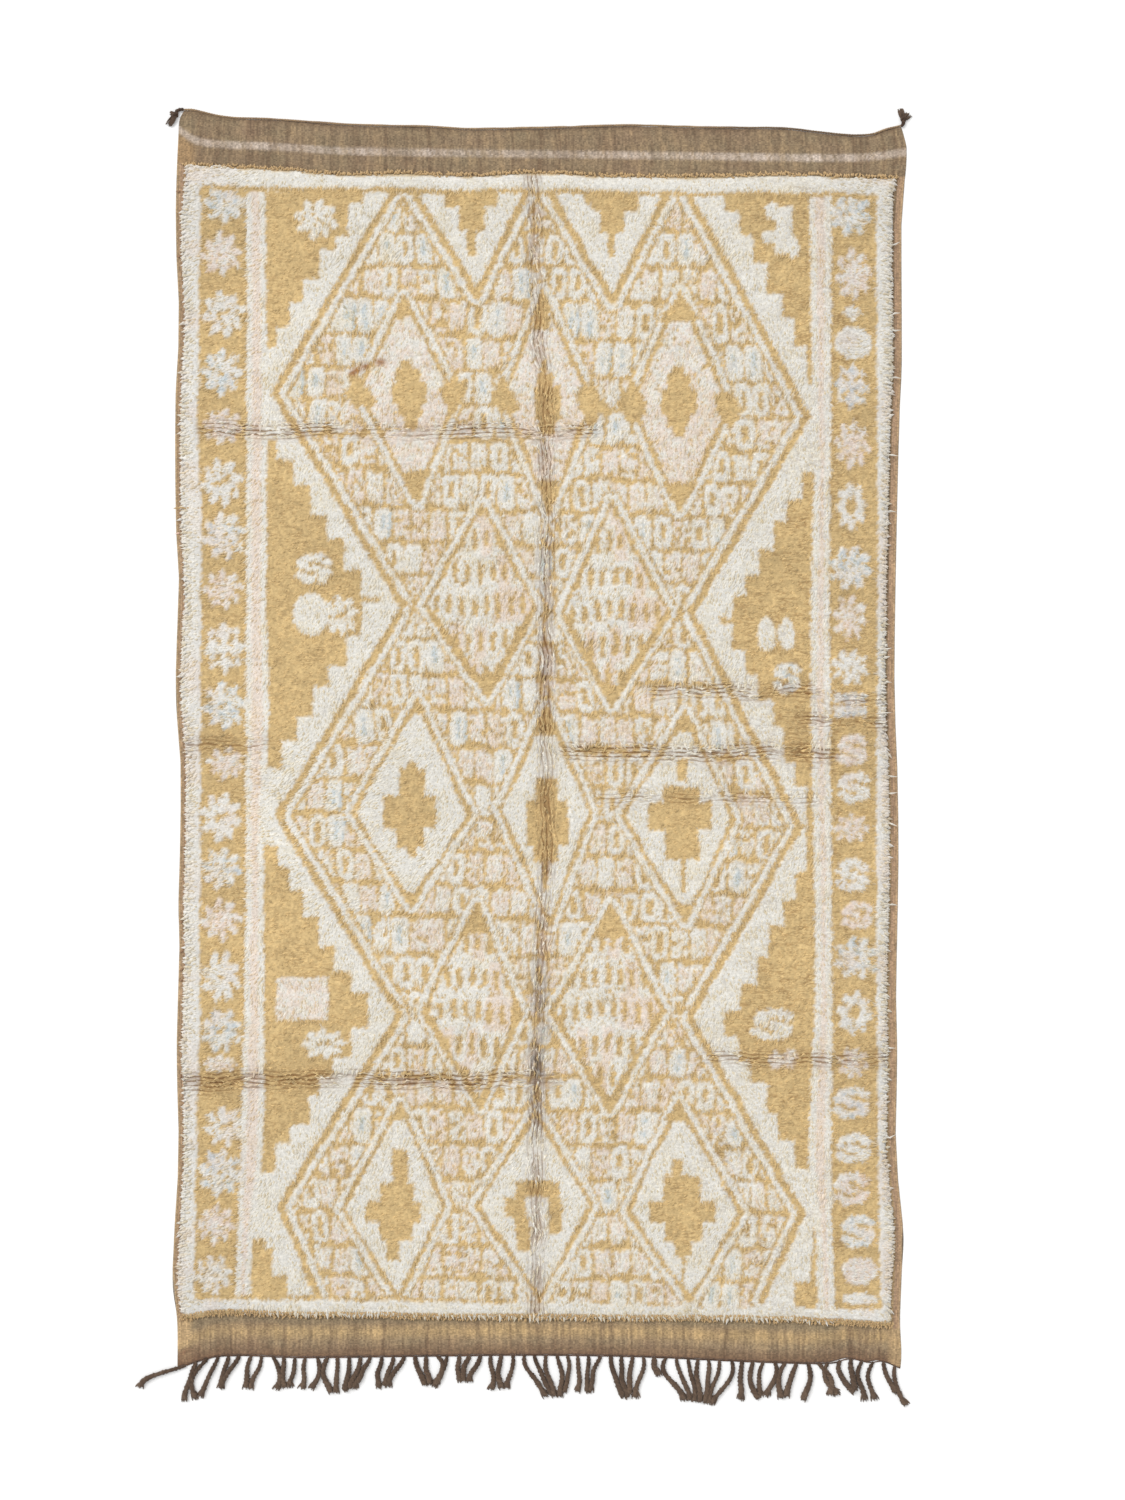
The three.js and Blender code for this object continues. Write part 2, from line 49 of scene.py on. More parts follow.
bpy.ops.object.camera_add(location=(*VIEW_CENTRE, VIEW_LENGTH * LENS / SENSOR))
camera = bpy.context.object
camera.data.lens = LENS
camera.data.sensor_width = SENSOR
camera.data.clip_end = 50
bpy.context.scene.camera = camera

bpy.ops.mesh.primitive_plane_add(size=12, location=(0, 0, 0))
floor = bpy.context.object
floor.name = "floor"
floor_paint = bpy.data.materials.new("pale_floor")
floor_paint.use_nodes = True
floor_shader = floor_paint.node_tree.nodes["Principled BSDF"]
floor_shader.inputs["Base Color"].default_value = (0.975, 0.975, 0.972, 1)
floor_shader.inputs["Roughness"].default_value = 0.9
floor_shader.inputs["Specular IOR Level"].default_value = 0.1
floor.data.materials.append(floor_paint)
floor.visible_shadow = False  # so that a view from below shows the rug's back lit
floor.visible_diffuse = False

surround = bpy.data.worlds.new("white_surround")
surround.use_nodes = True
surround.node_tree.nodes["Background"].inputs["Color"].default_value = (1, 1, 1, 1)
surround.node_tree.nodes["Background"].inputs["Strength"].default_value = 0.765
bpy.context.scene.world = surround

bpy.ops.object.light_add(type="SUN", location=(-2.6, 2.4, 3.6))
key_light = bpy.context.object
key_light.data.angle = 0.6
key_light.data.energy = 1.74
key_light.rotation_euler = (math.radians(-34), math.radians(-34), 0)
bpy.context.scene.view_settings.view_transform = "Standard"

# The weaver's chart, in millimetres of the rug: which of the four wools each knot takes.
# A net of gold lines makes tall lozenges filled with small boxes, with stepped gold
# panels beside them and a column of rosettes down each side. The tables of places were
# read off the photograph, place by place. What fills them comes from rules and chance.
BAND_TOPS = [(-850, 1372), (-450, 1366), (100, 1360), (500, 1355), (850, 1354)]
BAND_FEET = [(-850, -1375), (-300, -1378), (100, -1388), (500, -1396), (850, -1400)]
TOP_LINE = 12
BOX_PITCH = 46
TOOTH_ROW, TOOTH_PITCH = 84, 30
NET_LINE = 18.5
LOZENGE_LINE = {"halo": 14, "comb": 13, "wide": 14}
RIM_WHITE, RIM_GOLD = 19.5, 25  # the two lines round a lozenge, out from its edge
NET_WHITE, NET_OUTER = (9, 26), (24, 31.5)  # the bands beside a line of the net
LEFT_MARGIN, RIGHT_MARGIN = 14, 16  # white on both sides of a pink stripe
GROWN = {"ess": 0.92, "round": 1, "block": 1, "bar": 1, "ring": 1.05}
BLUE_FROM, PINK_FROM = 0.79, 0.45  # share of a motif's knots that stay white
# where each step of a side panel begins, downwards, and how far in it reaches
left_steps = [
    (1356, -438), (1326, -472), (1247, -504), (1210, -544), (1141, -584), (1082, -618),
    (1020, -650), (968, None), (745, -648), (694, -606), (632, -566), (560, -524), (498, -482),
    (424, -440), (355, -396), (342, -440), (261, -477), (184, -522), (135, -561), (61, -598),
    (-1, -635), (-66, None), (-258, -645), (-308, -618), (-367, -584), (-434, -546),
    (-506, -507), (-567, -465), (-619, -423), (-708, -465), (-778, -512), (-825, -544),
    (-874, -569), (-948, -616), (-993, -653), (-1064, None), (-1228, -677), (-1252, -658),
    (-1314, -623), (-1369, None),
]
right_steps = [
    (1356, 455), (1307, 492), (1250, 524), (1181, 561), (1106, 598), (1045, 628), (975, 658),
    (884, None), (664, 648), (597, 611), (540, 576), (473, 541), (409, 507), (360, 475),
    (308, 440), (291, 475), (226, 507), (162, 537), (100, 576), (38, 601), (-51, 628),
    (-110, 658), (-323, 630), (-389, 601), (-456, 566), (-535, 537), (-600, 497), (-664, 455),
    (-728, 490), (-787, 517), (-842, 561), (-916, 588), (-985, 628), (-1055, None),
    (-1195, 673), (-1270, 668), (-1334, 628), (-1402, None),
]
column_edges = {
    "left_gold": [
        (-1406, -855), (-1134, -851), (-639, -838), (548, -836), (770, -846), (1371, -836)
    ],
    "left_stripe": [(-1406, -754), (-1010, -739), (-540, -727), (350, -724), (1371, -724)],
    "left_field": [
        (-1406, -717), (-1245, -710), (-1035, -687), (-886, -680), (-268, -682), (53, -668),
        (350, -675), (745, -673), (1371, -677)
    ],
    "right_field": [
        (-1406, 687), (-1233, 680), (-1035, 663), (-886, 668), (-738, 675), (-491, 680),
        (-145, 673), (152, 668), (449, 670), (647, 675), (1017, 670), (1371, 663)
    ],
    "right_gold": [(-1406, 729), (-1084, 719), (-639, 722), (449, 715), (1371, 719)],
    "right_band": [(-1406, 843), (-1084, 836), (-639, 831), (449, 833), (1371, 831)],
}
net_outline = [
    (-336, 1364), (-158, 1106), (-15, 1371), (178, 1089), (336, 1371), (356, 1371),
    (660, 805), (371, 315), (643, -209), (371, -679), (645, -1166), (536, -1402),
    (-540, -1402), (-640, -1148), (-349, -674), (-643, -184), (-336, 333), (-655, 857),
]
net_lines = [
    [(-356, 1364), (-655, 859), (-339, 337)],
    [(-344, 320), (-645, -184), (-351, -669)],
    [(-349, -681), (-640, -1146), (-546, -1378)],
    [(-319, 1364), (-156, 1101), (-25, 1369)],
    [(15, 1369), (178, 1087), (321, 1364)],
    [(356, 1369), (660, 802), (373, 320)],
    [(378, 305), (640, -211), (373, -674)],
    [(371, -684), (645, -1166), (546, -1381)],
]
lattice_rows = [
    (1342, 1342), (1257, 1257), (1173, 1171), (1097, 1077), (1008, 978), (928, 886), (847, 800),
    (760, 716), (679, 634), (585, 548), (498, 466), (419, 384), (340, 300),
    (263, 221), (179, 132), (90, 53), (-4, -38), (-90, -127), (-177, -214),
    (-263, -293), (-345, -377), (-422, -459), (-520, -545), (-609, -629), (-684, -689),
    (-750, -753), (-825, -834), (-899, -916), (-990, -1000), (-1074, -1084), (-1158, -1163),
    (-1240, -1252), (-1319, -1332), (-1385, -1400),
]
lozenges = [
    ("halo", (-336, 1094), (-208, 852), (-304, 590), (-450, 864)),
    ("halo", (7, 1111), (129, 832), (20, 560), (-91, 852)),
    ("halo", (346, 1111), (470, 822), (344, 567), (223, 834)),
    ("comb", (-143, 590), (-10, 330), (-131, 108), (-284, 337)),
    ("comb", (178, 592), (319, 318), (178, 88), (54, 320)),
    ("wide", (-302, 103), (-173, -182), (-319, -404), (-465, -174)),
    ("wide", (15, 90), (126, -174), (25, -454), (-99, -169)),
    ("wide", (359, 73), (480, -194), (359, -446), (203, -182)),
    ("comb", (-156, -399), (-47, -671), (-148, -899), (-289, -664)),
    ("comb", (176, -404), (304, -664), (173, -906), (30, -669)),
    ("wide", (-346, -891), (-235, -1146), (-351, -1381), (-487, -1153)),
    ("wide", (-10, -911), (129, -1146), (0, -1376), (-158, -1148)),
    ("wide", (341, -886), (497, -1166), (371, -1381), (215, -1163)),
]
gold_blocks = [
    (-237, -106, 1317, 1364), (-200, -136, 1260, 1317), (-178, -156, 1200, 1260),
    (109, 242, 1324, 1364), (148, 208, 1255, 1324), (168, 185, 1198, 1255),
    (124, 148, 1309, 1324), (208, 242, 1309, 1324), (-346, -314, 923, 943),
    (-356, -294, 889, 923), (-366, -279, 834, 889), (-351, -289, 805, 834),
    (-336, -302, 770, 805), (326, 356, 909, 928), (314, 371, 869, 909),
    (299, 388, 805, 869), (314, 371, 775, 805), (331, 359, 750, 775),
    (2, 17, 909, 938), (-5, 35, 874, 909), (-15, 52, 795, 874),
    (-5, 37, 760, 795), (-329, -302, -70, -51), (-346, -282, -135, -70),
    (-386, -255, -214, -135), (-354, -284, -263, -214), (-329, -307, -286, -263),
    (-10, 45, -145, -90), (-35, 69, -258, -145), (-17, 45, -300, -258),
    (7, 20, -367, -300), (336, 363, -100, -41), (302, 393, -147, -112),
    (267, 423, -219, -147), (309, 393, -293, -219), (349, 361, -372, -293),
    (-366, -326, -1089, -1005), (-393, -309, -1134, -1089), (-428, -292, -1186, -1134),
    (-393, -312, -1233, -1186), (-378, -346, -1282, -1233), (-59, 49, -1124, -1084),
    (-87, -35, -1173, -1124), (20, 54, -1213, -1124), (-62, -25, -1257, -1173),
    (324, 351, -1069, -1030), (307, 396, -1134, -1069), (270, 433, -1186, -1134),
    (309, 401, -1235, -1186), (334, 373, -1272, -1235), (351, 359, -1381, -1272),
]
small_lozenges = [
    (-450, 862, 30, 40), (-215, 854, 25, 49), (-91, 852, 27, 47),
    (124, 832, 27, 54), (227, 834, 35, 54), (465, 820, 30, 42),
]
gold_tips = [
    (-336, 1097, 25, -45), (-304, 587, 37, 84), (7, 1111, 22, -99), (20, 560, 22, 87),
    (346, 1111, 49, -74), (344, 567, 45, 74), (-131, 108, 49, 62), (178, 88, 35, 54),
    (-302, 110, 20, -45), (359, 73, 30, -49), (-156, -399, 32, -74), (176, -404, 35, -79),
    (-346, -891, 32, -45), (341, -886, 35, -49), (15, 90, 20, -74), (-319, -404, 15, 35),
    (359, -446, 20, 45),
]
left_stars = [
    (-779, 1331, 47, 49, "star", "blue"), (-786, 1205, 45, 47, "star", "pink"),
    (-781, 1055, 47, 52, "slit", "white"), (-786, 911, 47, 52, "star", "blue"),
    (-784, 778, 45, 40, "star", "pink"), (-786, 639, 47, 54, "slit", "white"),
    (-779, 506, 49, 54, "star", "blue"), (-779, 375, 45, 45, "loose", "pink"),
    (-779, 231, 47, 57, "cross", "white"), (-781, 88, 49, 54, "star", "blue"),
    (-776, -53, 42, 37, "loose", "pink"), (-786, -187, 45, 57, "slit", "white"),
    (-786, -313, 45, 47, "star", "blue"), (-786, -441, 45, 49, "loose", "pink"),
    (-786, -582, 45, 57, "star", "white"), (-786, -713, 45, 49, "star", "blue"),
    (-789, -795, 42, 20, "loose", "pink"), (-776, -948, 45, 45, "slit", "white"),
    (-789, -1064, 49, 54, "star", "blue"), (-801, -1191, 42, 45, "loose", "pink"),
    (-806, -1314, 42, 45, "loose", "white"),
]
right_stars = [
    (766, 1302, 49, 49, "star", "blue"), (774, 1153, 42, 57, "loose", "pink"),
    (769, 1059, 22, 17, "loose", "white"), (774, 985, 47, 40, "round", "white"),
    (769, 877, 40, 52, "cross", "blue"), (769, 733, 40, 54, "loose", "pink"),
    (769, 580, 37, 57, "ring", "white"), (766, 429, 47, 49, "star", "blue"),
    (764, 305, 37, 52, "loose", "pink"), (766, 184, 42, 42, "star", "white"),
    (766, 90, 42, 32, "bar", "blue"), (771, -21, 40, 35, "ess", "pink"),
    (776, -112, 42, 35, "ess", "white"), (766, -214, 40, 35, "loose", "pink"),
    (771, -330, 42, 37, "ess", "white"), (784, -429, 40, 32, "ess", "pink"),
    (781, -533, 49, 49, "star", "blue"), (776, -669, 42, 52, "ring", "white"),
    (774, -792, 35, 35, "loose", "pink"), (769, -891, 45, 35, "ess", "blue"),
    (774, -1005, 45, 35, "ess", "white"), (769, -1104, 45, 37, "ess", "pink"),
    (786, -1208, 42, 37, "ess", "blue"), (789, -1307, 45, 35, "round", "pink"),
    (789, -1373, 45, 15, "round", "white"),
]
panel_motifs = [
    (-551, 1287, 47, 47, "star", "white"), (-556, 427, 45, 35, "ess", "white"),
    (-566, 315, 45, 52, "round", "white"), (-494, 310, 42, 45, "slit", "white"),
    (-586, -634, 64, 52, "block", "pink"), (-532, -745, 49, 32, "slit", "white"),
    (574, 1309, 17, 20, "round", "white"), (601, 1260, 22, 59, "block", "white"),
    (569, 1245, 22, 17, "round", "white"), (623, 1215, 15, 25, "round", "white"),
    (559, 263, 22, 42, "round", "white"), (608, 266, 20, 40, "round", "white"),
    (611, 157, 35, 35, "ess", "blue"), (574, -698, 52, 35, "ess", "white"),
    (581, -787, 17, 22, "round", "pink"), (616, -783, 20, 25, "loose", "pink"),
]
GOLD, WHITE, PINK, BLUE = 0, 1, 2, 3


def along_line(corners, x, y):
    """Distance of each place from a bent line."""
    nearest = np.full(x.shape, 1e9)
    for (x0, y0), (x1, y1) in zip(corners, corners[1:]):
        run = np.hypot(x1 - x0, y1 - y0)
        t = ((x - x0) * (x1 - x0) + (y - y0) * (y1 - y0)) / run**2
        t = np.clip(t, 0, 1)
        gap = np.hypot(x - x0 - t * (x1 - x0), y - y0 - t * (y1 - y0))
        nearest = np.minimum(nearest, gap)
    return nearest


def within(corners, x, y):
    inside = np.zeros(x.shape, bool)
    for (x0, y0), (x1, y1) in zip(corners, corners[1:] + corners[:1]):
        if y0 != y1:
            crosses = (y0 > y) != (y1 > y)
            inside ^= crosses & (x < (x1 - x0) * (y - y0) / (y1 - y0) + x0)
    return inside


def by_chance(*counts):
    """A repeatable number from 0 to 1 for any set of counts."""
    wild = sum(c * k for c, k in zip(counts, (127.1, 311.7, 74.7, 53.3)))
    wild = np.sin(wild) * 43758.5453
    return wild - np.floor(wild)


def box_lattice(x, y):
    """Rows of small white rings and upright bars on gold, one row above the other."""
    tilt = np.clip((x + 520) / 1040, 0, 1)
    line = np.array([left + (right - left) * tilt.ravel() for left, right in lattice_rows])
    line = line.reshape((len(lattice_rows),) + x.shape)
    row = (y[None] < line).sum(axis=0) - 1
    row_ok = np.clip(row, 0, len(lattice_rows) - 2)
    top = np.take_along_axis(line, row_ok[None], 0)[0]
    foot = np.take_along_axis(line, row_ok[None] + 1, 0)[0]
    tall = top - foot
    up = (y - foot) / tall - 0.5
    place = x / BOX_PITCH + 0.7 * by_chance(row, row * 0 + 3) + 0.5 * (row % 2)
    cell = np.floor(place)
    zero = cell * 0

    def luck(k):
        return by_chance(cell, row, zero + k)

    off = (place - cell - 0.5) * BOX_PITCH
    off = off + (luck(5) - 0.5) * 18 * up + (luck(6) - 0.5) * 6
    far = np.abs(off)
    # a ring with a heart of gold or blue
    half = 21.2 + 3 * (luck(8) - 0.5)
    ring = (far / half) ** 4 + (np.abs(up) / (0.5 - 3.2 / tall)) ** 4 < 1
    hue = luck(2)
    heart = (far < np.where(hue < 0.3, 3.6, 5.6) + 3.4 * luck(9)) & (
        np.abs(up + 0.08 * (luck(4) - 0.5)) < 0.2 + 0.12 * luck(4)
    )
    pale = by_chance(np.floor(x / 6), np.floor(y / 9), zero + 17)
    heart_wool = np.where(
        hue < 0.3, np.where(pale < 0.75, BLUE, WHITE), np.where(hue < 0.97, GOLD, WHITE)
    )
    ringed = np.where(
        heart, heart_wool, np.where((hue < 0.08) & (far > half - 7) & (off > 0), BLUE, WHITE)
    )
    ringed = np.where(ring, ringed, GOLD)
    # upright bars, each with its own ends, some of them joined across
    bar = np.floor((off + 19.5) / 13)
    in_bar = (far < 19.5) & (np.abs(off + 19.5 - 13 * bar - 6.5) < 5.3 + 0.9 * luck(11))
    bar_top = 0.33 + 0.13 * by_chance(cell, row, bar + 21)
    bar_foot = 0.3 + 0.16 * by_chance(cell, row, bar + 31)
    cut = np.abs(up - 0.4 * (by_chance(cell, row, bar + 41) - 0.5)) < 0.06
    in_bar &= (up < bar_top) & (up > -bar_foot) & ~(cut & (luck(12) < 0.45))
    joint = (far < 19) & (np.abs(up - 0.6 * (luck(13) - 0.5)) < 0.08) & (luck(14) < 0.7)
    bar_wool = np.where(pale < 0.8 * luck(18), PINK, WHITE)
    barred = np.where(in_bar | joint, bar_wool, GOLD)
    # a plain block with small gold flecks
    block = (far / 20.5) ** 6 + (np.abs(up) / (0.5 - 4.5 / tall)) ** 6 < 1
    flecked = by_chance(np.floor(x / 7), np.floor(y / 12), zero + 16) < 0.3
    blocked = np.where(block & ~flecked, bar_wool, GOLD)
    kind = luck(1)
    return np.where(kind < 0.46, ringed, np.where(kind < 0.84, barred, blocked))


def comb_teeth(corners, x, y, wool):
    """Short upright gold dashes in rows, above and below plain white bars."""
    centre = (corners[1][1] + corners[3][1]) / 2
    mid_x = (corners[1][0] + corners[3][0]) / 2
    level = (y - centre + 5 * np.sin(x / 31 + centre)) / TOOTH_ROW + 0.5
    row = np.floor(level)
    place = (x - mid_x) / TOOTH_PITCH + 0.5 * (row % 2)
    cell = np.floor(place)
    zero = cell * 0
    off = (place - cell - 0.5) * TOOTH_PITCH + 5 * (by_chance(cell, row, zero + 11) - 0.5)
    up = level - row - 0.5
    lean = off + 10 * up * (by_chance(cell, row, zero + 12) - 0.5)
    high = 0.22 + 0.14 * by_chance(cell, row, zero + 13)
    low = 0.2 + 0.16 * by_chance(cell, row, zero + 14)
    tooth = (np.abs(lean) < 8 - 7 * np.abs(up)) & (up < high) & (up > -low)
    fleck = (by_chance(np.floor(x / 6), np.floor(y / 8), zero + 15) < 0.07) & (np.abs(up) > 0.15)
    wool = np.where(by_chance(cell, row, zero + 16) < 0.3, PINK, wool)
    return np.where(tooth | fleck, GOLD, wool)


def petals(corners, gap, x, y):
    """A ring of round pale lobes round a lozenge's heart, with gold in between them."""
    centre_x = (corners[0][0] + corners[2][0]) / 2
    centre_y = (corners[1][1] + corners[3][1]) / 2
    lobed = gap > 30
    for (x0, y0), (x1, y1) in zip(corners, corners[1:] + corners[:1]):
        for share in (0.2, 0.45, 0.74):
            at_x = x0 + share * (x1 - x0) + 0.2 * (centre_x - x0 - share * (x1 - x0))
            at_y = y0 + share * (y1 - y0) + 0.14 * (centre_y - y0 - share * (y1 - y0))
            lobed |= (x - at_x) ** 2 + ((y - at_y) * 0.85) ** 2 < 30**2
    level, shore = np.floor(y / 7), np.floor(x / 6)
    fleck = (by_chance(shore, level, level * 0 + 18) < 0.05) & (gap < 60)
    blush = by_chance(shore, level, level * 0 + 19) < np.where(y < centre_y, 0.65, 0.4)
    return np.where(lobed & ~fleck, np.where(blush, PINK, WHITE), GOLD)


ESS = [
    (0.8, 0.55), (0.3, 0.9), (-0.5, 0.75), (-0.75, 0.3), (-0.1, 0.0), (0.75, -0.3), (0.5, -0.8),
    (-0.3, -0.9), (-0.8, -0.55)
]


def motif(kind, u, v, tag):
    """Whether a place of a small motif, from -1 to 1 each way, is white."""
    far = np.hypot(u, v)
    turn = np.arctan2(v, u)
    arms = np.cos(8 * turn + tag)
    disc = far < 0.88 + 0.14 * np.cos(8 * turn + 1 + tag)
    if kind == "star":
        return disc & ~((arms < -0.86) & (far > 0.5)) & ~(far < 0.1)
    if kind == "loose":
        return disc & ~((arms < -0.78) & (far > 0.45)) & ~(
            (arms > 0.85) & (np.abs(far - 0.5) < 0.07)
        )
    if kind == "cross":
        return disc & ~((np.abs(np.abs(u) - np.abs(v)) < 0.13) & (far > 0.25) & (far < 0.75))
    if kind == "slit":
        return disc & ~(
            (np.abs(v - 0.35 * u) < 0.1) & (np.abs(u) < 0.35)
        ) & ~((arms < -0.85) & (far > 0.55))
    if kind == "ring":
        return disc & (far > 0.34)
    if kind == "bar":
        return (np.abs(u) < 0.95) & (np.abs(v) < 0.9) & ~((np.abs(v) < 0.12) & (np.abs(u) > 0.3))
    if kind == "round":
        return far < 1
    if kind == "ess":
        return along_line(ESS, u, v) < 0.3
    return (np.abs(u) < 1) & (np.abs(v) < 1)


def pattern_at(x, y):
    """Which wool a knot at each place is tied with."""
    wool = np.full(x.shape, WHITE)
    edge = {name: np.interp(y, *np.array(rows).T) for name, rows in column_edges.items()}
    band_top, band_foot = np.interp(x, *np.array(BAND_TOPS).T), np.interp(x, *np.array(BAND_FEET).T)
    middle_rows = (y < band_top) & (y > band_foot)
    # the field: stepped gold panels at the sides, and blocks that hang from the top line
    in_field = (x > edge["left_field"]) & (x < edge["right_field"])
    for steps, side in ((left_steps, -1), (right_steps, 1)):
        for (high, reach), (low, _) in zip(steps, steps[1:]):
            if reach is not None:
                wool[(y <= high) & (y > low) & (side * x > side * reach) & in_field] = GOLD
    in_net = within(net_outline, x, y) & (y < band_top)
    wool = np.where(in_net, box_lattice(x, y), wool)
    for kind, *corners in lozenges:
        inside = within(corners, x, y)
        gap = along_line(corners + corners[:1], x, y)
        lower = y < (corners[1][1] + corners[3][1]) / 2
        if kind == "halo":
            wool = np.where(inside, petals(corners, gap, x, y), wool)
        else:
            wool[inside] = WHITE
        if kind == "comb":
            wool = np.where(inside, comb_teeth(corners, x, y, wool), wool)
        outer = ~inside & in_net
        wool[outer & (gap < RIM_GOLD)] = GOLD
        wool[outer & (gap < RIM_WHITE)] = WHITE
        thick = LOZENGE_LINE[kind] * np.where(lower & (kind == "comb"), 1.7, 1)
        thick = thick * np.where(inside, 1, 0.7) * (1 + 0.25 * np.sin(y / 37 + corners[0][0]))
        wool[gap < thick / 2] = GOLD
    for tip_x, tip_y, half, tall in gold_tips:
        t = (y - tip_y) / tall
        wool[(t > 0) & (t < 1) & (np.abs(x - tip_x) < half * t + 3)] = GOLD
    for corners in net_lines:
        gap = along_line(corners, x, y)
        wool[in_net & (gap > NET_WHITE[0]) & (gap < NET_WHITE[1])] = WHITE
        wool[in_net & (gap > NET_OUTER[0]) & (gap < NET_OUTER[1])] = GOLD
    for corners in net_lines:
        gap = along_line(corners, x, y)
        wool[(gap < NET_LINE / 2) & middle_rows] = GOLD
    for x0, x1, y0, y1 in gold_blocks:
        wool[(x > x0) & (x < x1) & (y > y0) & (y < y1)] = GOLD
    for cx, cy, half, tall in small_lozenges:
        wool[np.abs(x - cx) / half + np.abs(y - cy) / tall < 1.15] = GOLD
    # the borders: two gold columns of rosettes between bands of white
    wool[x <= edge["left_field"]] = WHITE
    wool[x >= edge["right_field"]] = WHITE
    in_left = (x > edge["left_gold"]) & (x < edge["left_stripe"])
    in_right = (x > edge["right_gold"]) & (x < edge["right_band"])
    wool[in_left | in_right] = GOLD
    stripe = (x > edge["left_stripe"] + LEFT_MARGIN) & (x < edge["left_field"] - LEFT_MARGIN)
    stripe |= (x > edge["right_field"] + RIGHT_MARGIN) & (x < edge["right_gold"] - RIGHT_MARGIN)
    wool[stripe & (y < band_top)] = PINK
    for cx, cy, half, tall, kind, hue in left_stars + right_stars + panel_motifs:
        grown = GROWN.get(kind, 1.12)
        u, v = (x - cx) / (half * grown), (y - cy) / (tall * grown)
        close = (np.abs(u) < 1.2) & (np.abs(v) < 1.2)
        speck = by_chance(np.floor(x / 6), np.floor(y / 8), x * 0 + 61)
        lit = close & motif(kind, u, v, cx + cy) & ((speck > 0.05) | (kind in ("round", "block")))
        wool[lit] = WHITE
        dyed = lit & (speck > (BLUE_FROM if hue == "blue" else PINK_FROM))
        wool[dyed] = {"white": WHITE, "pink": PINK, "blue": BLUE}[hue]
    # the thin line, the white band and the gold row at each end
    top_line = (y > band_top - TOP_LINE) & (x > edge["left_gold"]) & (x < edge["right_band"])
    wool[top_line] = GOLD
    wool[(y > band_top) | (y < band_foot)] = WHITE
    foot_line = (y > band_foot - 2) & (y < band_foot + 8) & (x > edge["left_gold"]) & (x < -60)
    wool[foot_line] = GOLD
    return wool

# The ground cloth. It is one woven piece of brown and olive wool: a flat-woven band at
# each end with slubby yarns, three cord ribs along each side, and between them the plain
# weave that carries the knots, whose pattern shows faintly on the back.
RUG_MIDDLE = np.array([33.162, 38.153, 0])  # from the rug's own zero to the part's, mm
RUG_WIDTH = 1800
RUG_LENGTH = 3036
CLOTH_THICK = 2.8
RIB = 6
RIB_GROOVE = 0.9
GAP = 0.3
half_width, half_length = RUG_WIDTH / 2, RUG_LENGTH / 2

left_insets = np.array([
    (-1550, 4), (-1430, 3), (-1349, -8), (-1254, -6), (-1160, -1), (-1017, 7), (-780, 2),
    (-600, 6), (-488, 9), (-418, 6), (-229, 11), (-38, 11), (103, 0), (277, 3), (340, 8),
    (419, 7), (540, 0), (848, -1), (1018, 8), (1114, 6), (1208, 1), (1349, 0), (1492, 6),
    (1536, 9), (1560, 20),
])
right_insets = np.array([
    (-1550, 9), (-1510, 7), (-1440, 10), (-1350, 9), (-1237, 1), (-1166, 6), (-1072, 16),
    (-990, 21), (-780, 17), (-640, 20), (-284, 14), (-63, 17), (126, 24), (505, 19),
    (820, 11), (916, 6), (1341, 6), (1400, -3), (1466, -6), (1495, 0), (1525, 9),
])
top_rises = np.array([
    (-880, 41), (-856, 40), (-794, 26), (-742, 20), (-665, 18), (-470, 4), (-262, -1),
    (-185, -6), (0, -4), (218, 2), (428, -3), (606, -5), (680, -13), (766, -22),
    (821, -20), (855, -8), (890, 1),
])
bottom_drops = np.array([
    (-896, 31), (-857, 16), (-800, 1), (-730, -2), (-600, 3), (-247, -1), (0, -3),
    (247, 1), (545, 14), (717, 17), (765, 6), (815, 15), (846, 12), (893, 30),
])
pile_tops = np.array([
    (-870, 92), (-800, 96), (-615, 105), (-500, 116), (-345, 113), (-160, 119), (0, 111),
    (150, 119), (400, 121), (655, 116), (760, 121), (870, 125),
])
pile_bottoms = np.array([
    (-870, 90), (-800, 100), (-615, 97), (-500, 95), (-345, 93), (-160, 91), (0, 90),
    (150, 89), (400, 87), (655, 83), (760, 77), (870, 71),
])


def read_curve(rows, at):
    """A smooth curve through a table's rows, read at any places."""
    keys, values = rows[:, 0].astype(float), rows[:, 1].astype(float)
    last = len(keys) - 1
    i = np.searchsorted(keys[1:-1], at, side="left")
    span = keys[i + 1] - keys[i]
    t = np.clip((at - keys[i]) / span, 0, 1)
    before, after = np.maximum(i - 1, 0), np.minimum(i + 2, last)
    leave = (values[i + 1] - values[before]) / (keys[i + 1] - keys[before]) * span
    arrive = (values[after] - values[i]) / (keys[after] - keys[i]) * span
    a, b = values[i], values[i + 1]
    bend = (3 * (b - a) - 2 * leave - arrive) * t**2
    return a + leave * t + bend + (2 * (a - b) + leave + arrive) * t**3


def left_edge(y):
    return read_curve(left_insets, y) - half_width


def right_edge(y):
    return half_width - read_curve(right_insets, y)


def top_edge(x):
    return half_length + read_curve(top_rises, x)


def bottom_edge(x):
    return -half_length - read_curve(bottom_drops, x)


def pile_top(x):
    return half_length - read_curve(pile_tops, x)


def pile_bottom(x):
    return read_curve(pile_bottoms, x) - half_length


def cloth_place(across, up):
    """Where a point of the plain rectangle lies in the real, uneven outline."""
    y = bottom_edge(across) + (top_edge(across) - bottom_edge(across)) * (up / RUG_LENGTH + 0.5)
    x = left_edge(y) + (right_edge(y) - left_edge(y)) * (across / RUG_WIDTH + 0.5)
    return x, y


def ease(t):
    t = np.clip(t, 0, 1)
    return t * t * (3 - 2 * t)


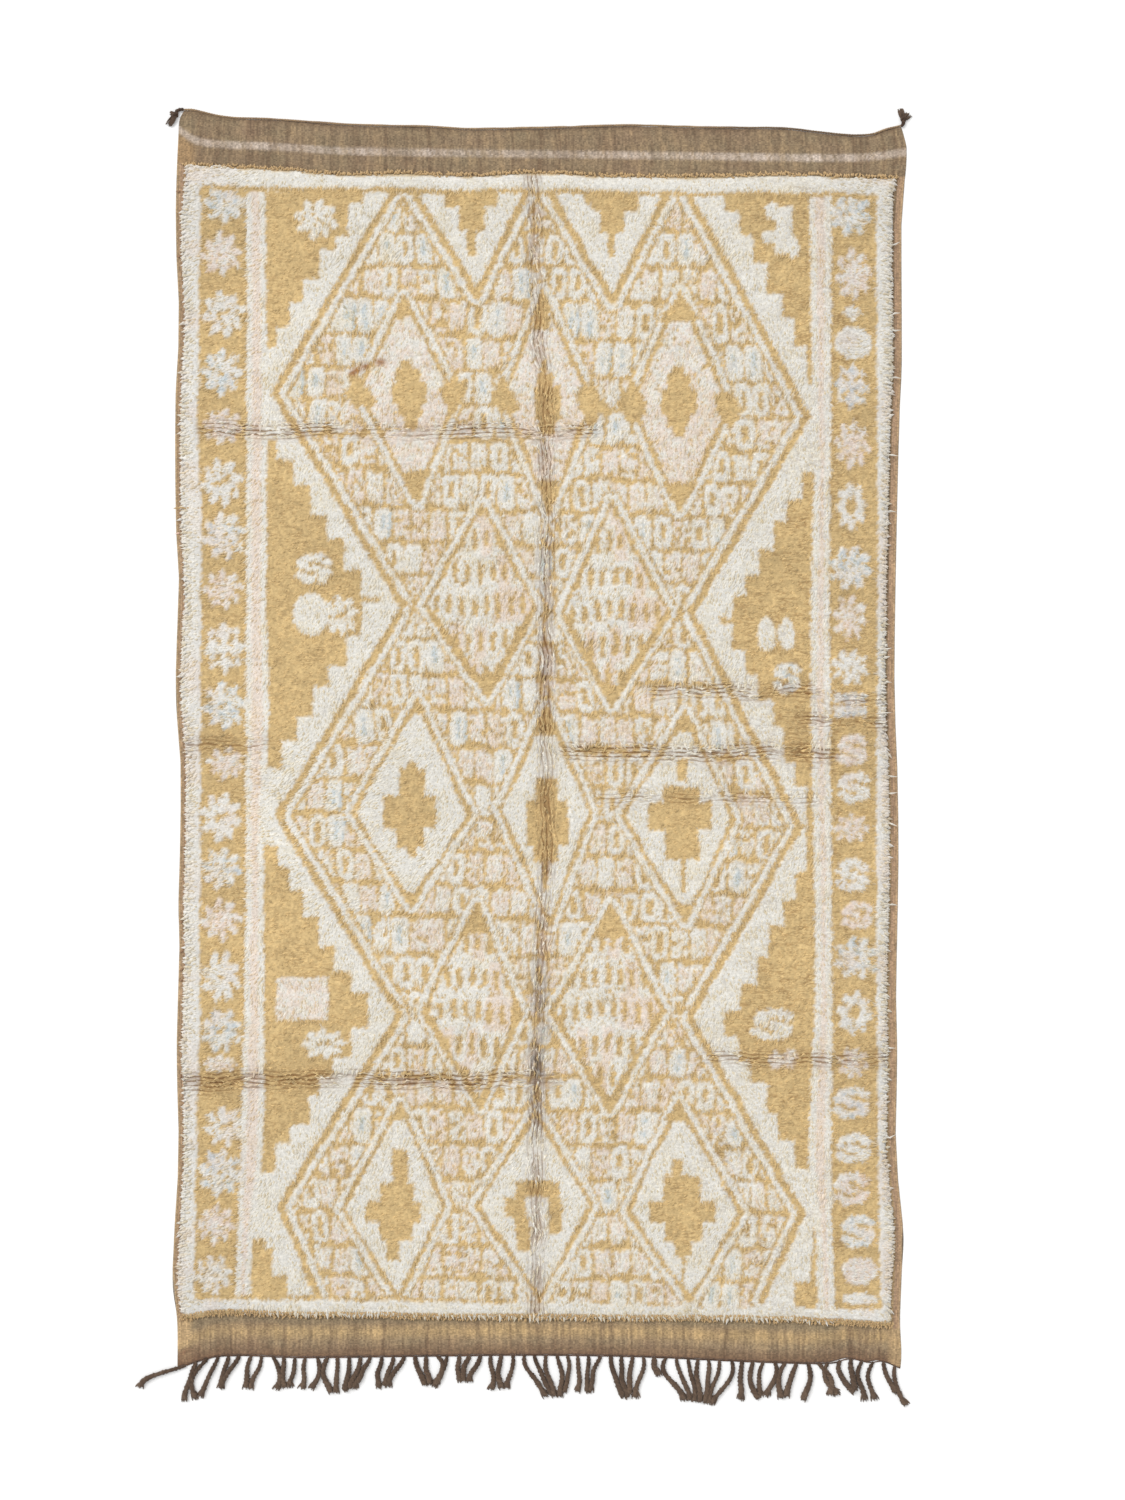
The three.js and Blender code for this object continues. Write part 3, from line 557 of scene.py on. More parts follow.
def soft_noise(x, seed, step):
    """Even noise from -1 to 1 along a line, with one new value for each step."""
    place = x / step
    low = np.floor(place)
    t = ease(place - low)
    value = by_chance(low, low * 0 + seed) * (1 - t) + by_chance(low + 1, low * 0 + seed) * t
    return 2 * value - 1


def patchy(x, y, seed, step):
    """The same over a surface."""
    i, j = np.floor(x / step), np.floor(y / step)
    s, t = ease(x / step - i), ease(y / step - j)
    k = i * 0 + seed
    near = by_chance(i, j, k) * (1 - s) + by_chance(i + 1, j, k) * s
    far = by_chance(i, j + 1, k) * (1 - s) + by_chance(i + 1, j + 1, k) * s
    return 2 * (near * (1 - t) + far * t) - 1


def dye(red, green, blue):
    """A colour as seen, 0 to 255, made linear."""
    seen = np.array([red, green, blue]) / 255
    return np.where(seen < 0.04045, seen / 12.92, ((seen + 0.055) / 1.055) ** 2.4)


def new_piece(name, points, triangles, uv=None, colours=None, smooth=True):
    """A smooth piece from points in the rug's own millimetres. The map is given for each
    triangle's corners, and the colours for each point."""
    mesh = bpy.data.meshes.new(name)
    count = len(triangles)
    mesh.vertices.add(len(points))
    mesh.vertices.foreach_set("co", ((points + RUG_MIDDLE) / 1000).astype(np.float32).ravel())
    mesh.loops.add(count * 3)
    mesh.loops.foreach_set("vertex_index", np.asarray(triangles, np.int32).ravel())
    mesh.polygons.add(count)
    mesh.polygons.foreach_set("loop_start", np.arange(0, count * 3, 3, dtype=np.int32))
    mesh.polygons.foreach_set("use_smooth", np.zeros(count, bool) | smooth)
    mesh.update(calc_edges=True)
    if uv is not None:
        layer = mesh.uv_layers.new(name="OFBake")
        layer.data.foreach_set("uv", np.asarray(uv, np.float32).ravel())
    if colours is not None:
        layer = mesh.color_attributes.new(name="yarn_colour", type="FLOAT_COLOR", domain="POINT")
        rgba = np.ones((len(points), 4), np.float32)
        rgba[:, :3] = colours
        layer.data.foreach_set("color", rgba.ravel())
    piece = bpy.data.objects.new(name, mesh)
    bpy.context.collection.objects.link(piece)
    return piece


def grid_triangles(columns, rows, start=0):
    i, j = np.meshgrid(np.arange(columns - 1), np.arange(rows - 1))
    a = (start + j * columns + i).ravel()
    b, c, d = a + 1, a + columns + 1, a + columns
    return np.concatenate([np.stack([a, b, c], 1), np.stack([a, c, d], 1)])


def lace(first, second, first_at, second_at):
    """The triangles between two lines of points that start and end together."""
    faces = []
    i = j = 0
    while i < len(first) - 1 or j < len(second) - 1:
        second_done = j == len(second) - 1
        if second_done or (i < len(first) - 1 and first_at[i + 1] <= second_at[j + 1]):
            faces.append((first[i], second[j], first[i + 1]))
            i += 1
        else:
            faces.append((first[i], second[j], second[j + 1]))
            j += 1
    return faces


def grid_sides(columns, rows, start):
    """The grid's four rims as lists of points: foot, right, top and left."""
    whole = np.arange(columns * rows).reshape(rows, columns) + start
    return whole[0], whole[:, -1], whole[-1][::-1], whole[::-1, 0]


BAND_DEPTH = 128  # finer rows reach this far in from each end, to just under the pile
rib_steps = np.arange(0, 3 * RIB, RIB / 4)
yarn_steps = np.linspace(3 * RIB, RUG_WIDTH - 3 * RIB, 336)
columns_at = np.concatenate([rib_steps, yarn_steps, RUG_WIDTH - rib_steps[::-1]]) - half_width
rows_at = np.concatenate([
    np.linspace(-half_length, BAND_DEPTH - half_length, 28),
    np.linspace(BAND_DEPTH - half_length, half_length - BAND_DEPTH, 26)[1:-1],
    np.linspace(half_length - BAND_DEPTH, half_length, 30),
])
across, up = np.meshgrid(columns_at, rows_at)
face_x, face_y = cloth_place(across, up)
from_side = np.minimum(across + half_width, half_width - across)
rib_turn = np.clip(from_side / RIB, 0, 3)
rib_dip = RIB_GROOVE * np.abs(np.cos(math.pi * rib_turn)) ** 2 * (from_side < 3 * RIB)
slub = 0.35 * soft_noise(across + 6 * patchy(across, up, 3, 40), 5, 7.5)
weft = 0.16 * soft_noise(up + 4 * patchy(across, up, 9, 60), 8, 5)
end_roll = 0.9 * (1 - ease((half_length - np.abs(up)) / 6))
face_z = CLOTH_THICK - 0.35 - rib_dip - end_roll + slub + weft
face_z = np.maximum(face_z, 1.2)

# The colours of the yarns: measured down from the woven edge at the top, and up from it
# at the foot, with the pale twill line sloping across the upper band.
from_top = top_edge(face_x) - face_y
from_foot = face_y - bottom_edge(face_x)
BROWN, OLIVE, KHAKI = dye(144, 119, 95), dye(143, 126, 98), dye(170, 143, 108)
EARTH, RUST, TAN = dye(112, 88, 66), dye(118, 84, 62), dye(190, 160, 118)
BLUSH = dye(214, 198, 184)
twill_line = np.array([
    (-893, 1513), (-851, 1486), (-790, 1476), (-692, 1472), (-618, 1468), (-495, 1460),
    (-371, 1457), (-247, 1455), (0, 1452), (247, 1449), (396, 1447), (643, 1443), (800, 1444),
    (900, 1456),
])
from_twill = face_y - read_curve(twill_line, face_x)


def mixed(base, other, share):
    return base + (other - base) * np.clip(share, 0, 1)[..., None]


streak = soft_noise(across + 5 * patchy(across, up, 21, 50), 12, 5.5)
broad = 0.6 * patchy(across, up * 2, 14, 55) + 0.4 * soft_noise(across, 15, 60)
yarn = mixed(np.broadcast_to(BROWN, across.shape + (3,)), OLIVE, 0.5 + 0.5 * broad)
yarn = mixed(yarn, KHAKI, 0.5 * np.clip(streak, 0, 1) + 0.3 * patchy(across, up, 31, 16))
yarn = mixed(
    yarn, EARTH, 0.6 * np.clip(-streak, 0, 1) + 0.3 * np.clip(patchy(across, up * 3, 32, 30), 0, 1)
)
upper = up > 0
foot_gold = np.exp(-(((from_foot - 60 - 5 * broad) / 18) ** 2)) * ~upper
yarn = mixed(yarn, dye(194, 163, 114), 0.66 * foot_gold * (0.75 + 0.4 * streak))
foot_dark = ease(1 - (from_foot - 6) / 34) * ~upper
yarn = mixed(yarn, 0.6 * EARTH + 0.4 * RUST, (0.66 + 0.2 * broad) * foot_dark)
yarn = mixed(yarn, OLIVE * 0.9, 0.62 * ease((from_foot - 74) / 14) * ~upper)
yarn = mixed(yarn, RUST, ease(1 - from_foot / 9) * 0.6 * ~upper)
yarn = mixed(yarn, EARTH, ease(1 - (from_top - 2) / 8) * 0.5 * upper)
corner_tan = ease((-846 - across) / 26) * upper * ease((-from_twill - 4) / 20)
yarn = mixed(yarn, dye(182, 146, 102), 0.6 * corner_tan)
dotted = 0.25 + 0.75 * by_chance(np.floor((across + 0.5 * up) / 5.4), across * 0, across * 0 + 33)
dotted = np.where(
    (across < -850) | (across > 850), 0.85, dotted
) * (0.8 + 0.3 * soft_noise(across, 34, 55))
yarn = mixed(yarn, BLUSH, dotted * ease(1.7 - np.abs(from_twill) / 7.5) * upper)
foot_tan = ease((-855 - across) / 20) * ~upper
yarn = mixed(yarn, TAN * 0.97, 0.75 * foot_tan * ease((from_foot - 42) / 20) + 0.15 * foot_tan)
corner_rust = ease((-830 - across) / 40) * ease((50 - from_foot) / 18) * ~upper
yarn = mixed(yarn, RUST, (0.5 + 0.3 * patchy(across, up, 35, 9)) * corner_rust)
foot_tan_right = ease((across - 862) / 14) * ~upper
yarn = mixed(yarn, TAN, 0.6 * foot_tan_right)
rib = np.floor(np.clip(from_side / RIB, 0, 2.99))
in_kilim = (face_y > pile_top(face_x) + 4) | (face_y < pile_bottom(face_x) - 4)
in_ribs = (from_side < 3 * RIB) & ~in_kilim
yarn = yarn * np.where(upper, 0.925, 0.985 + 0.075 * streak)[..., None]
right_rib = in_ribs & (across > 0)
for number, colour in enumerate([dye(178, 149, 115), dye(174, 143, 112), dye(172, 142, 114)]):
    yarn = np.where((right_rib & (rib == number))[..., None], colour, yarn)
for number, colour in enumerate([dye(176, 149, 114), dye(172, 143, 112), dye(172, 142, 114)]):
    yarn = np.where((in_ribs & (across < 0) & (rib == number))[..., None], colour, yarn)
# painted shade: the cloth is darker in the grooves between the ribs, with some random tone over it
rib_groove_shade = 0.9 + 0.1 * (1 - np.abs(np.cos(math.pi * rib_turn))) + 0.08 * patchy(across, up, 41, 22)
yarn = np.where(in_ribs[..., None], yarn * rib_groove_shade[..., None], yarn)
face_colours = yarn.reshape(-1, 3)
face_points = np.stack([face_x, face_y, face_z], -1).reshape(-1, 3)

# The back is a plain grid, just fine enough to show the chart's steps.
back_columns = np.linspace(-half_width, half_width, 121)
back_rows = np.linspace(-half_length, half_length, 201)
back_across, back_up = np.meshgrid(back_columns, back_rows)
back_x, back_y = cloth_place(back_across, back_up)
back_points = np.stack([back_x, back_y, np.zeros_like(back_x)], -1).reshape(-1, 3)
back_wool = pattern_at(back_x, back_y)
back_dyes = np.stack(
    [dye(196, 166, 112), dye(214, 206, 190), dye(214, 200, 188), dye(196, 200, 198)]
)
back_colours = back_dyes[back_wool]
open_cloth = (back_y > pile_top(back_x)) | (back_y < pile_bottom(back_x))
open_cloth |= (np.abs(back_across) > half_width - 3 * RIB)
back_colours[open_cloth] = dye(140, 120, 90)
back_colours = back_colours * (0.94 + 0.06 * patchy(back_x, back_y, 51, 30))[..., None]
back_colours = back_colours.reshape(-1, 3)

face_count = len(face_points)
face_grid = (len(columns_at), len(rows_at))
back_grid = (len(back_columns), len(back_rows))
cloth_faces = [grid_triangles(*face_grid), grid_triangles(*back_grid, start=face_count)[:, ::-1]]
cloth_points = np.concatenate([face_points, back_points])
face_uv = np.stack(
    [across / RUG_WIDTH / 2.1 + 0.25, up / RUG_LENGTH / 1.05 + 0.5], -1
).reshape(-1, 2)
back_uv = np.stack([back_across / RUG_WIDTH / 2.1 + 0.75, back_up / RUG_LENGTH / 1.05 + 0.5], -1)
point_uv = np.concatenate([face_uv, back_uv.reshape(-1, 2)])
face_rims = grid_sides(*face_grid, 0)
back_rims = grid_sides(*back_grid, face_count)
for face_rim, back_rim in zip(face_rims, back_rims):
    measures = []
    for rim in (face_rim, back_rim):
        steps = np.linalg.norm(np.diff(cloth_points[rim][:, :2], axis=0), axis=1)
        measures.append(np.concatenate([[0], np.cumsum(steps)]) / steps.sum())
    cloth_faces.append(np.array(lace(face_rim, back_rim, *measures)))
cloth_faces = np.concatenate(cloth_faces)
# the walls between face and back map onto the gap beside the face's own place
corner_uv = point_uv[cloth_faces].copy()
on_back = cloth_faces >= face_count
wall = on_back.any(1) & ~on_back.all(1)
shifted = point_uv[cloth_faces[wall]]
shifted[..., 0] = np.where(on_back[wall], shifted[..., 0] - 0.5, shifted[..., 0])
outward = np.sign(shifted.mean(1, keepdims=True) - [0.25, 0.5]) * 0.004
shifted = np.where(on_back[wall][..., None], shifted + outward, shifted)
corner_uv[wall] = shifted
cloth = new_piece(
    "woven_ground", cloth_points, cloth_faces, corner_uv,
    np.concatenate([face_colours, back_colours]),
)
bpy.context.view_layer.objects.active = cloth
cloth.select_set(True)
bpy.ops.object.mode_set(mode="EDIT")
bpy.ops.mesh.select_all(action="SELECT")
bpy.ops.mesh.normals_make_consistent(inside=False)
bpy.ops.object.mode_set(mode="OBJECT")
bpy.ops.object.select_all(action="DESELECT")


def fibre_fleck():
    """A shared effect: the uneven, flecked look of hand-spun wool, as a shade and a height."""
    group = bpy.data.node_groups.new("fibre_fleck", "ShaderNodeTree")
    sockets = group.interface
    sockets.new_socket("Place", in_out="INPUT", socket_type="NodeSocketVector")
    sockets.new_socket("Along", in_out="INPUT", socket_type="NodeSocketFloat")
    sockets.new_socket("Across", in_out="INPUT", socket_type="NodeSocketFloat")
    sockets.new_socket("Darkest", in_out="INPUT", socket_type="NodeSocketFloat")
    sockets.new_socket("Lightest", in_out="INPUT", socket_type="NodeSocketFloat")
    sockets.new_socket("Shade", in_out="OUTPUT", socket_type="NodeSocketColor")
    sockets.new_socket("Height", in_out="OUTPUT", socket_type="NodeSocketFloat")
    nodes, links = group.nodes, group.links
    entry = nodes.new("NodeGroupInput")
    leave = nodes.new("NodeGroupOutput")
    scale = nodes.new("ShaderNodeCombineXYZ")
    links.new(entry.outputs["Across"], scale.inputs["X"])
    links.new(entry.outputs["Along"], scale.inputs["Y"])
    links.new(entry.outputs["Across"], scale.inputs["Z"])
    stretch = nodes.new("ShaderNodeVectorMath")
    stretch.operation = "MULTIPLY"
    links.new(entry.outputs["Place"], stretch.inputs[0])
    links.new(scale.outputs["Vector"], stretch.inputs[1])
    fibres = nodes.new("ShaderNodeTexNoise")
    fibres.inputs["Scale"].default_value = 1
    fibres.inputs["Detail"].default_value = 3
    fibres.inputs["Roughness"].default_value = 0.65
    links.new(stretch.outputs["Vector"], fibres.inputs["Vector"])
    tone = nodes.new("ShaderNodeMapRange")
    tone.inputs["From Min"].default_value = 0.3
    tone.inputs["From Max"].default_value = 0.7
    links.new(fibres.outputs["Fac"], tone.inputs["Value"])
    links.new(entry.outputs["Darkest"], tone.inputs["To Min"])
    links.new(entry.outputs["Lightest"], tone.inputs["To Max"])
    links.new(tone.outputs["Result"], leave.inputs["Shade"])
    links.new(fibres.outputs["Fac"], leave.inputs["Height"])
    return group


fleck = fibre_fleck()


def wool_paint(name, place, along, across, tones, bump, roughness=0.92, sheen=0.25):
    """Wool whose colour is the piece's own yarn colours under the shared fleck. The place
    is the node output that the fleck follows, such as the object's or the map's."""
    paint = bpy.data.materials.new(name)
    paint.use_nodes = True
    nodes, links = paint.node_tree.nodes, paint.node_tree.links
    shader = nodes["Principled BSDF"]
    shader.inputs["Roughness"].default_value = roughness
    shader.inputs["Specular IOR Level"].default_value = 0.2
    shader.inputs["Sheen Weight"].default_value = sheen
    shader.inputs["Sheen Roughness"].default_value = 0.6
    colour = nodes.new("ShaderNodeAttribute")
    colour.attribute_name = "yarn_colour"
    where = nodes.new("ShaderNodeTexCoord")
    grain = nodes.new("ShaderNodeGroup")
    grain.node_tree = fleck
    grain.inputs["Along"].default_value = along
    grain.inputs["Across"].default_value = across
    grain.inputs["Darkest"].default_value = tones[0]
    grain.inputs["Lightest"].default_value = tones[1]
    links.new(where.outputs[place], grain.inputs["Place"])
    blend = nodes.new("ShaderNodeMix")
    blend.data_type = "RGBA"
    blend.blend_type = "MULTIPLY"
    blend.inputs["Factor"].default_value = 1
    links.new(colour.outputs["Color"], blend.inputs["A"])
    links.new(grain.outputs["Shade"], blend.inputs["B"])
    links.new(blend.outputs["Result"], shader.inputs["Base Color"])
    relief = nodes.new("ShaderNodeBump")
    relief.inputs["Strength"].default_value = bump
    relief.inputs["Distance"].default_value = 0.001
    links.new(grain.outputs["Height"], relief.inputs["Height"])
    links.new(relief.outputs["Normal"], shader.inputs["Normal"])
    return paint


weave_paint = wool_paint("flat_weave", "Object", 420, 300, (0.78, 1.18), 0.6)
nodes, links = weave_paint.node_tree.nodes, weave_paint.node_tree.links
shader = nodes["Principled BSDF"]
place = nodes.new("ShaderNodeTexCoord")
for stitch, weakest, strongest in (
    ((0.0046, 0.0031, 1), 0.76, 1.22), ((0.0038, 0.024, 1), 0.86, 1.14)
):
    snapped = nodes.new("ShaderNodeVectorMath")
    snapped.operation = "SNAP"
    snapped.inputs[1].default_value = stitch
    links.new(place.outputs["Object"], snapped.inputs[0])
    chance = nodes.new("ShaderNodeTexWhiteNoise")
    links.new(snapped.outputs["Vector"], chance.inputs["Vector"])
    tone = nodes.new("ShaderNodeMapRange")
    tone.inputs["To Min"].default_value = weakest
    tone.inputs["To Max"].default_value = strongest
    links.new(chance.outputs["Value"], tone.inputs["Value"])
    stitched = nodes.new("ShaderNodeMix")
    stitched.data_type = "RGBA"
    stitched.blend_type = "MULTIPLY"
    stitched.inputs["Factor"].default_value = 1
    links.new(shader.inputs["Base Color"].links[0].from_socket, stitched.inputs["A"])
    links.new(tone.outputs["Result"], stitched.inputs["B"])
    links.new(stitched.outputs["Result"], shader.inputs["Base Color"])
cloth.data.materials.append(weave_paint)
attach(cloth, "root")
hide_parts("ground_cloth")

# The pile's body. The knots stand so close that their wool has matted into one surface,
# which carries the pattern and has worn into thin winding partings, darkened by soil and
# painted shade, wider and darker along the lengthwise fold and the cross creases.
# It is made in three lengths.
PILE_BASE = CLOTH_THICK + GAP
PILE_HEIGHT = 12
PILE_UNEVEN = 3
PILE_INSET_LEFT = 13
PILE_INSET_RIGHT = 23
MAT_STEP = 5.2
FOLD_DEPTH = 2
CREASE_HALF = 21
CREASE_FADE = 60
BEND_SPACING = 10.5
centre_fold = np.array([
    (-1430, -6), (-900, -7), (-640, 0), (-150, 17), (100, 15), (820, 12), (1060, -5),
    (1400, -17),
])
# height up the rug, both ends across, depth, and how much soil and painted shade its partings take
cross_creases = [
    (-837, -895, 60, 7, 1.0),
    (-780, 400, 870, 4, 0.5),
    (-140, 120, 700, 3, 0.4),
    (-28, 50, 740, 6, 0.8),
    (-8, -895, -640, 3, 0.3),
    (52, 640, 895, 5, 0.9),
    (125, 270, 690, 5, 0.5),
    (105, 700, 895, 3, 0.7),
    (770, -845, 150, 5, 0.6),
]


def pile_inset_left(y):
    return PILE_INSET_LEFT + 8 * ease((y - 1290) / 90)


def creased(x, y):
    """How near a place is to the nearest cross crease, from 0 to 1, its depth, and its soil and
    painted shade.
    """
    near, depth, soil_and_shade = np.zeros_like(x), np.zeros_like(x), np.zeros_like(x)
    for at, start, end, deep, soiled_and_shaded in cross_creases:
        ends = ease((x - start) / CREASE_FADE + 0.4) * ease((end - x) / CREASE_FADE + 0.4)
        off = y - at - 6 * soft_noise(x, 75 + at, 90)
        close = ends * np.exp(-((off / CREASE_HALF) ** 2))
        near = np.maximum(near, close * deep / 7)
        depth = np.maximum(depth, deep * close)
        soil_and_shade = np.maximum(soil_and_shade, soiled_and_shaded * close * ease(0.75 + patchy(x, y, 76, 60)))
    return near, depth, soil_and_shade


def off_the_fold(x, y):
    return x - read_curve(centre_fold, y) - 4 * soft_noise(y, 77, 70)


def fold_lines(x, y):
    """The partings in the lengthwise fold lie where this count passes a whole number."""
    wander = 5 * patchy(x, y, 101, 50) + 3.4 * patchy(x, y, 102, 21)
    return (off_the_fold(x, y) + wander) / BEND_SPACING


def crease_lines(x, y):
    """The same for the partings in the nearest cross crease."""
    nearest = np.full_like(x, 1e9)
    for at, start, end, deep, soiled_and_shaded in cross_creases:
        off = y - at - 6 * soft_noise(x, 75 + at, 90)
        past_end = np.maximum(np.maximum(start - x, x - end), 0)
        nearest = np.where(np.abs(off) + past_end < np.abs(nearest), off, nearest)
    wander = 4 * patchy(x, y, 103, 44) + 2.6 * patchy(x, y, 104, 20)
    return (np.clip(nearest, -60, 60) + wander) / BEND_SPACING


def pile_height(x, y):
    """The height of the pile's top above the floor."""
    swell = np.sin(x / 61 + 2 * np.sin(y / 97)) + np.sin(y / 43 + x / 150)
    lump = swell / 4 + 0.5 * patchy(x, y, 61, 38)
    pressed = FOLD_DEPTH * np.exp(-((off_the_fold(x, y) / 11) ** 2))
    pressed = np.maximum(pressed, 0.25 * creased(x, y)[1])
    return PILE_BASE + PILE_HEIGHT + PILE_UNEVEN * lump - pressed


wool_dyes = np.stack(
    [dye(201, 173, 122), dye(225, 222, 214), dye(225, 212, 200), dye(196, 204, 206)]
)
NUDGES = [(-0.25, -0.25), (0.25, -0.25), (-0.25, 0.25), (0.25, 0.25)]


def charted(x, y):
    """Where a place's knot sits on the chart, since the rows of knots don't run quite true
    and each knot's wool lies a little off its place."""
    x, y = x + 2.6 * patchy(x, y, 81, 40), y + 3.2 * patchy(x, y, 82, 55)
    row = np.floor(y / 6.6)
    knot = np.floor(x / 5.4 + 0.5 * (row % 2))
    x = x + 7 * (by_chance(knot, row, row * 0 + 83) - 0.5)
    return x, y + 8.5 * (by_chance(knot, row, row * 0 + 84) - 0.5)


def wool_colour(x, y, step):
    """The dyed wool at a place, blended over one step, and how white it is."""
    colour, white = 0, 0
    for nudge_x, nudge_y in NUDGES:
        chart_x, chart_y = charted(x + nudge_x * step, y + nudge_y * step)
        wool = pattern_at(chart_x, chart_y)
        colour = colour + wool_dyes[wool] / len(NUDGES)
        white = white + (wool != GOLD) / len(NUDGES)
    abrash = 0.035 * soft_noise(y, 91, 130) + 0.04 * patchy(
        x, y, 92, 90
    ) + 0.03 * patchy(x, y, 93, 22)
    colour = colour * (1 + abrash * (1.2 - 0.8 * white))[..., None]
    knot_row = np.floor(y / 7.5)
    knot = np.floor(x / 6.2 + 0.5 * (knot_row % 2))
    grain = by_chance(knot, knot_row, knot * 0 + 85) - 0.5
    colour = colour * (1 + grain * (0.3 - 0.18 * white))[..., None]
    yellowed = np.clip(0.5 * patchy(x, y, 94, 34) + 0.35 * patchy(x, y, 95, 9), 0, 1) * white
    outer = ease((np.abs(x) - 700) / 60)
    yellowed = yellowed * (1 - 0.6 * outer)
    colour = colour * (1 - yellowed[..., None] * np.array([0.03, 0.08, 0.2]))
    blush = 0.55 * outer * white * np.clip(0.1 + 1.2 * patchy(x, y, 96, 45), 0, 1)
    colour = colour + (wool_dyes[PINK] - wool_dyes[WHITE]) * blush[..., None]
    cleaner = white[..., None] * np.array([0.005, 0.01, 0.03])
    colour = colour * (1 - outer[..., None] * (0.045 - cleaner))
    # the left side is a little lighter, and the foot and far corner a little darker
    regional_lightness = 0.045 * ease((-x - 330) / 420) * ease((y + 900) / 500) * ease((1250 - y) / 300)
    regional_lightness = regional_lightness - 0.03 * ease((-1080 - y) / 250) * ease((740 - x) / 150)
    regional_lightness = regional_lightness - 0.025 * ease((x - 350) / 250) * ease((y - 500) / 300)
    colour = colour * (1 + regional_lightness)[..., None]
    stained = np.zeros_like(x)
    for cx, cy, size in [(-452, 916, 1.3), (-393, 936, 1.5), (-432, 926, 1.1), (-464, 908, 0.9)]:
        stained += np.exp(-(((x - cx) / (10 * size)) ** 2 + ((y - cy) / (6 * size)) ** 2))
    return mixed(colour, dye(158, 104, 46), 0.9 * stained), white


shape_x = np.linspace(-half_width, half_width, int(RUG_WIDTH / MAT_STEP))
mat_rows = int((RUG_LENGTH - 210) / MAT_STEP)
mat_across, mat_up = np.meshgrid(np.linspace(0, 1, len(shape_x)), np.linspace(0, 1, mat_rows))
high, low = pile_top(shape_x) - 2, pile_bottom(shape_x) + 3
mat_y = low + (high - low) * mat_up
mat_y = mat_y + 1.5 * soft_noise(mat_across * RUG_WIDTH, 62, 22) * np.abs(2 * mat_up - 1) ** 40
mat_left = left_edge(mat_y) + pile_inset_left(mat_y) + 2 + 2 * soft_noise(mat_y, 63, 17)
mat_right = right_edge(mat_y) - PILE_INSET_RIGHT - 1 + 2.5 * soft_noise(mat_y, 64, 19)
mat_x = mat_left + (mat_right - mat_left) * mat_across
mat_colour, mat_white = wool_colour(mat_x, mat_y, MAT_STEP)
mat_near, _, mat_soil_and_shade = creased(mat_x, mat_y)
mat_off_fold = off_the_fold(mat_x, mat_y)
mat_fold = np.exp(-((mat_off_fold / 25) ** 2)) * (0.8 + 0.2 * soft_noise(mat_y, 78, 60))
fold_soil_and_shade = np.exp(-((mat_off_fold / 13) ** 2)) * ease(0.85 + soft_noise(mat_y, 79, 75))
# a brown that stands for soil and for painted shade in the partings
SOIL_AND_SHADE = dye(146, 106, 60)
INK = dye(92, 95, 104)
# up, reach, strength
INKY_PLACES = [(177, 35, 0.45), (-640, 60, 0.5), (-797, 46, 1.0), (-920, 60, 0.5)]


def inky(x, y):
    """How far the indigo has run between the strands of the fold."""
    share = sum(
        strength * np.exp(-(((y - up) / reach) ** 2)) for up, reach, strength in INKY_PLACES
    )
    return share * np.exp(-((off_the_fold(x, y) / 22) ** 2))


slit_x = patchy(mat_x, mat_y * 4, 67, 60)
slit_y = patchy(mat_x * 5, mat_y, 68, 60)
in_slit = np.maximum(
    mat_near * np.exp(-((slit_x / 0.2) ** 2)), mat_fold * np.exp(-((slit_y / 0.3) ** 2))
)
# soil and painted shade: the matted wool is darkened along the fold, in the creases and in the
# slits
mat_colour = mixed(
    mat_colour, SOIL_AND_SHADE, np.clip(0.35 * fold_soil_and_shade + 0.3 * mat_soil_and_shade + 0.3 * in_slit, 0, 0.85)
)
mat_colour = mixed(mat_colour, INK, 0.6 * inky(mat_x, mat_y))
at_end = np.maximum(
    ease((low + 15 - mat_y) / 6), 0.8 * ease((mat_y - high + 7 + 4 * soft_noise(mat_x, 65, 26)) / 4)
)
mat_colour = mixed(mat_colour, wool_dyes[GOLD] * 0.96, at_end)
from_rim = np.minimum(mat_x - mat_left, mat_right - mat_x)
from_rim = np.minimum(from_rim, np.minimum(mat_y - low, high - mat_y))
shoulder = np.sqrt(1 - (1 - np.clip(from_rim / 30, 0, 1)) ** 2)
relief = 0.5 * patchy(mat_x, mat_y * 2.2, 65, 26) + 0.35 * patchy(mat_x, mat_y, 66, 11)
relief += 1.5 * mat_white - 0.8
relief -= 2.2 * in_slit
mat_top = PILE_BASE + 0.8 + (pile_height(mat_x, mat_y) - PILE_BASE - 2.2 + relief) * shoulder
# painted shade: the matted wool is darker where white locks lie over it, as in the shade between
# them
mat_colour = mat_colour * (1 - 0.07 * mat_white)[..., None]


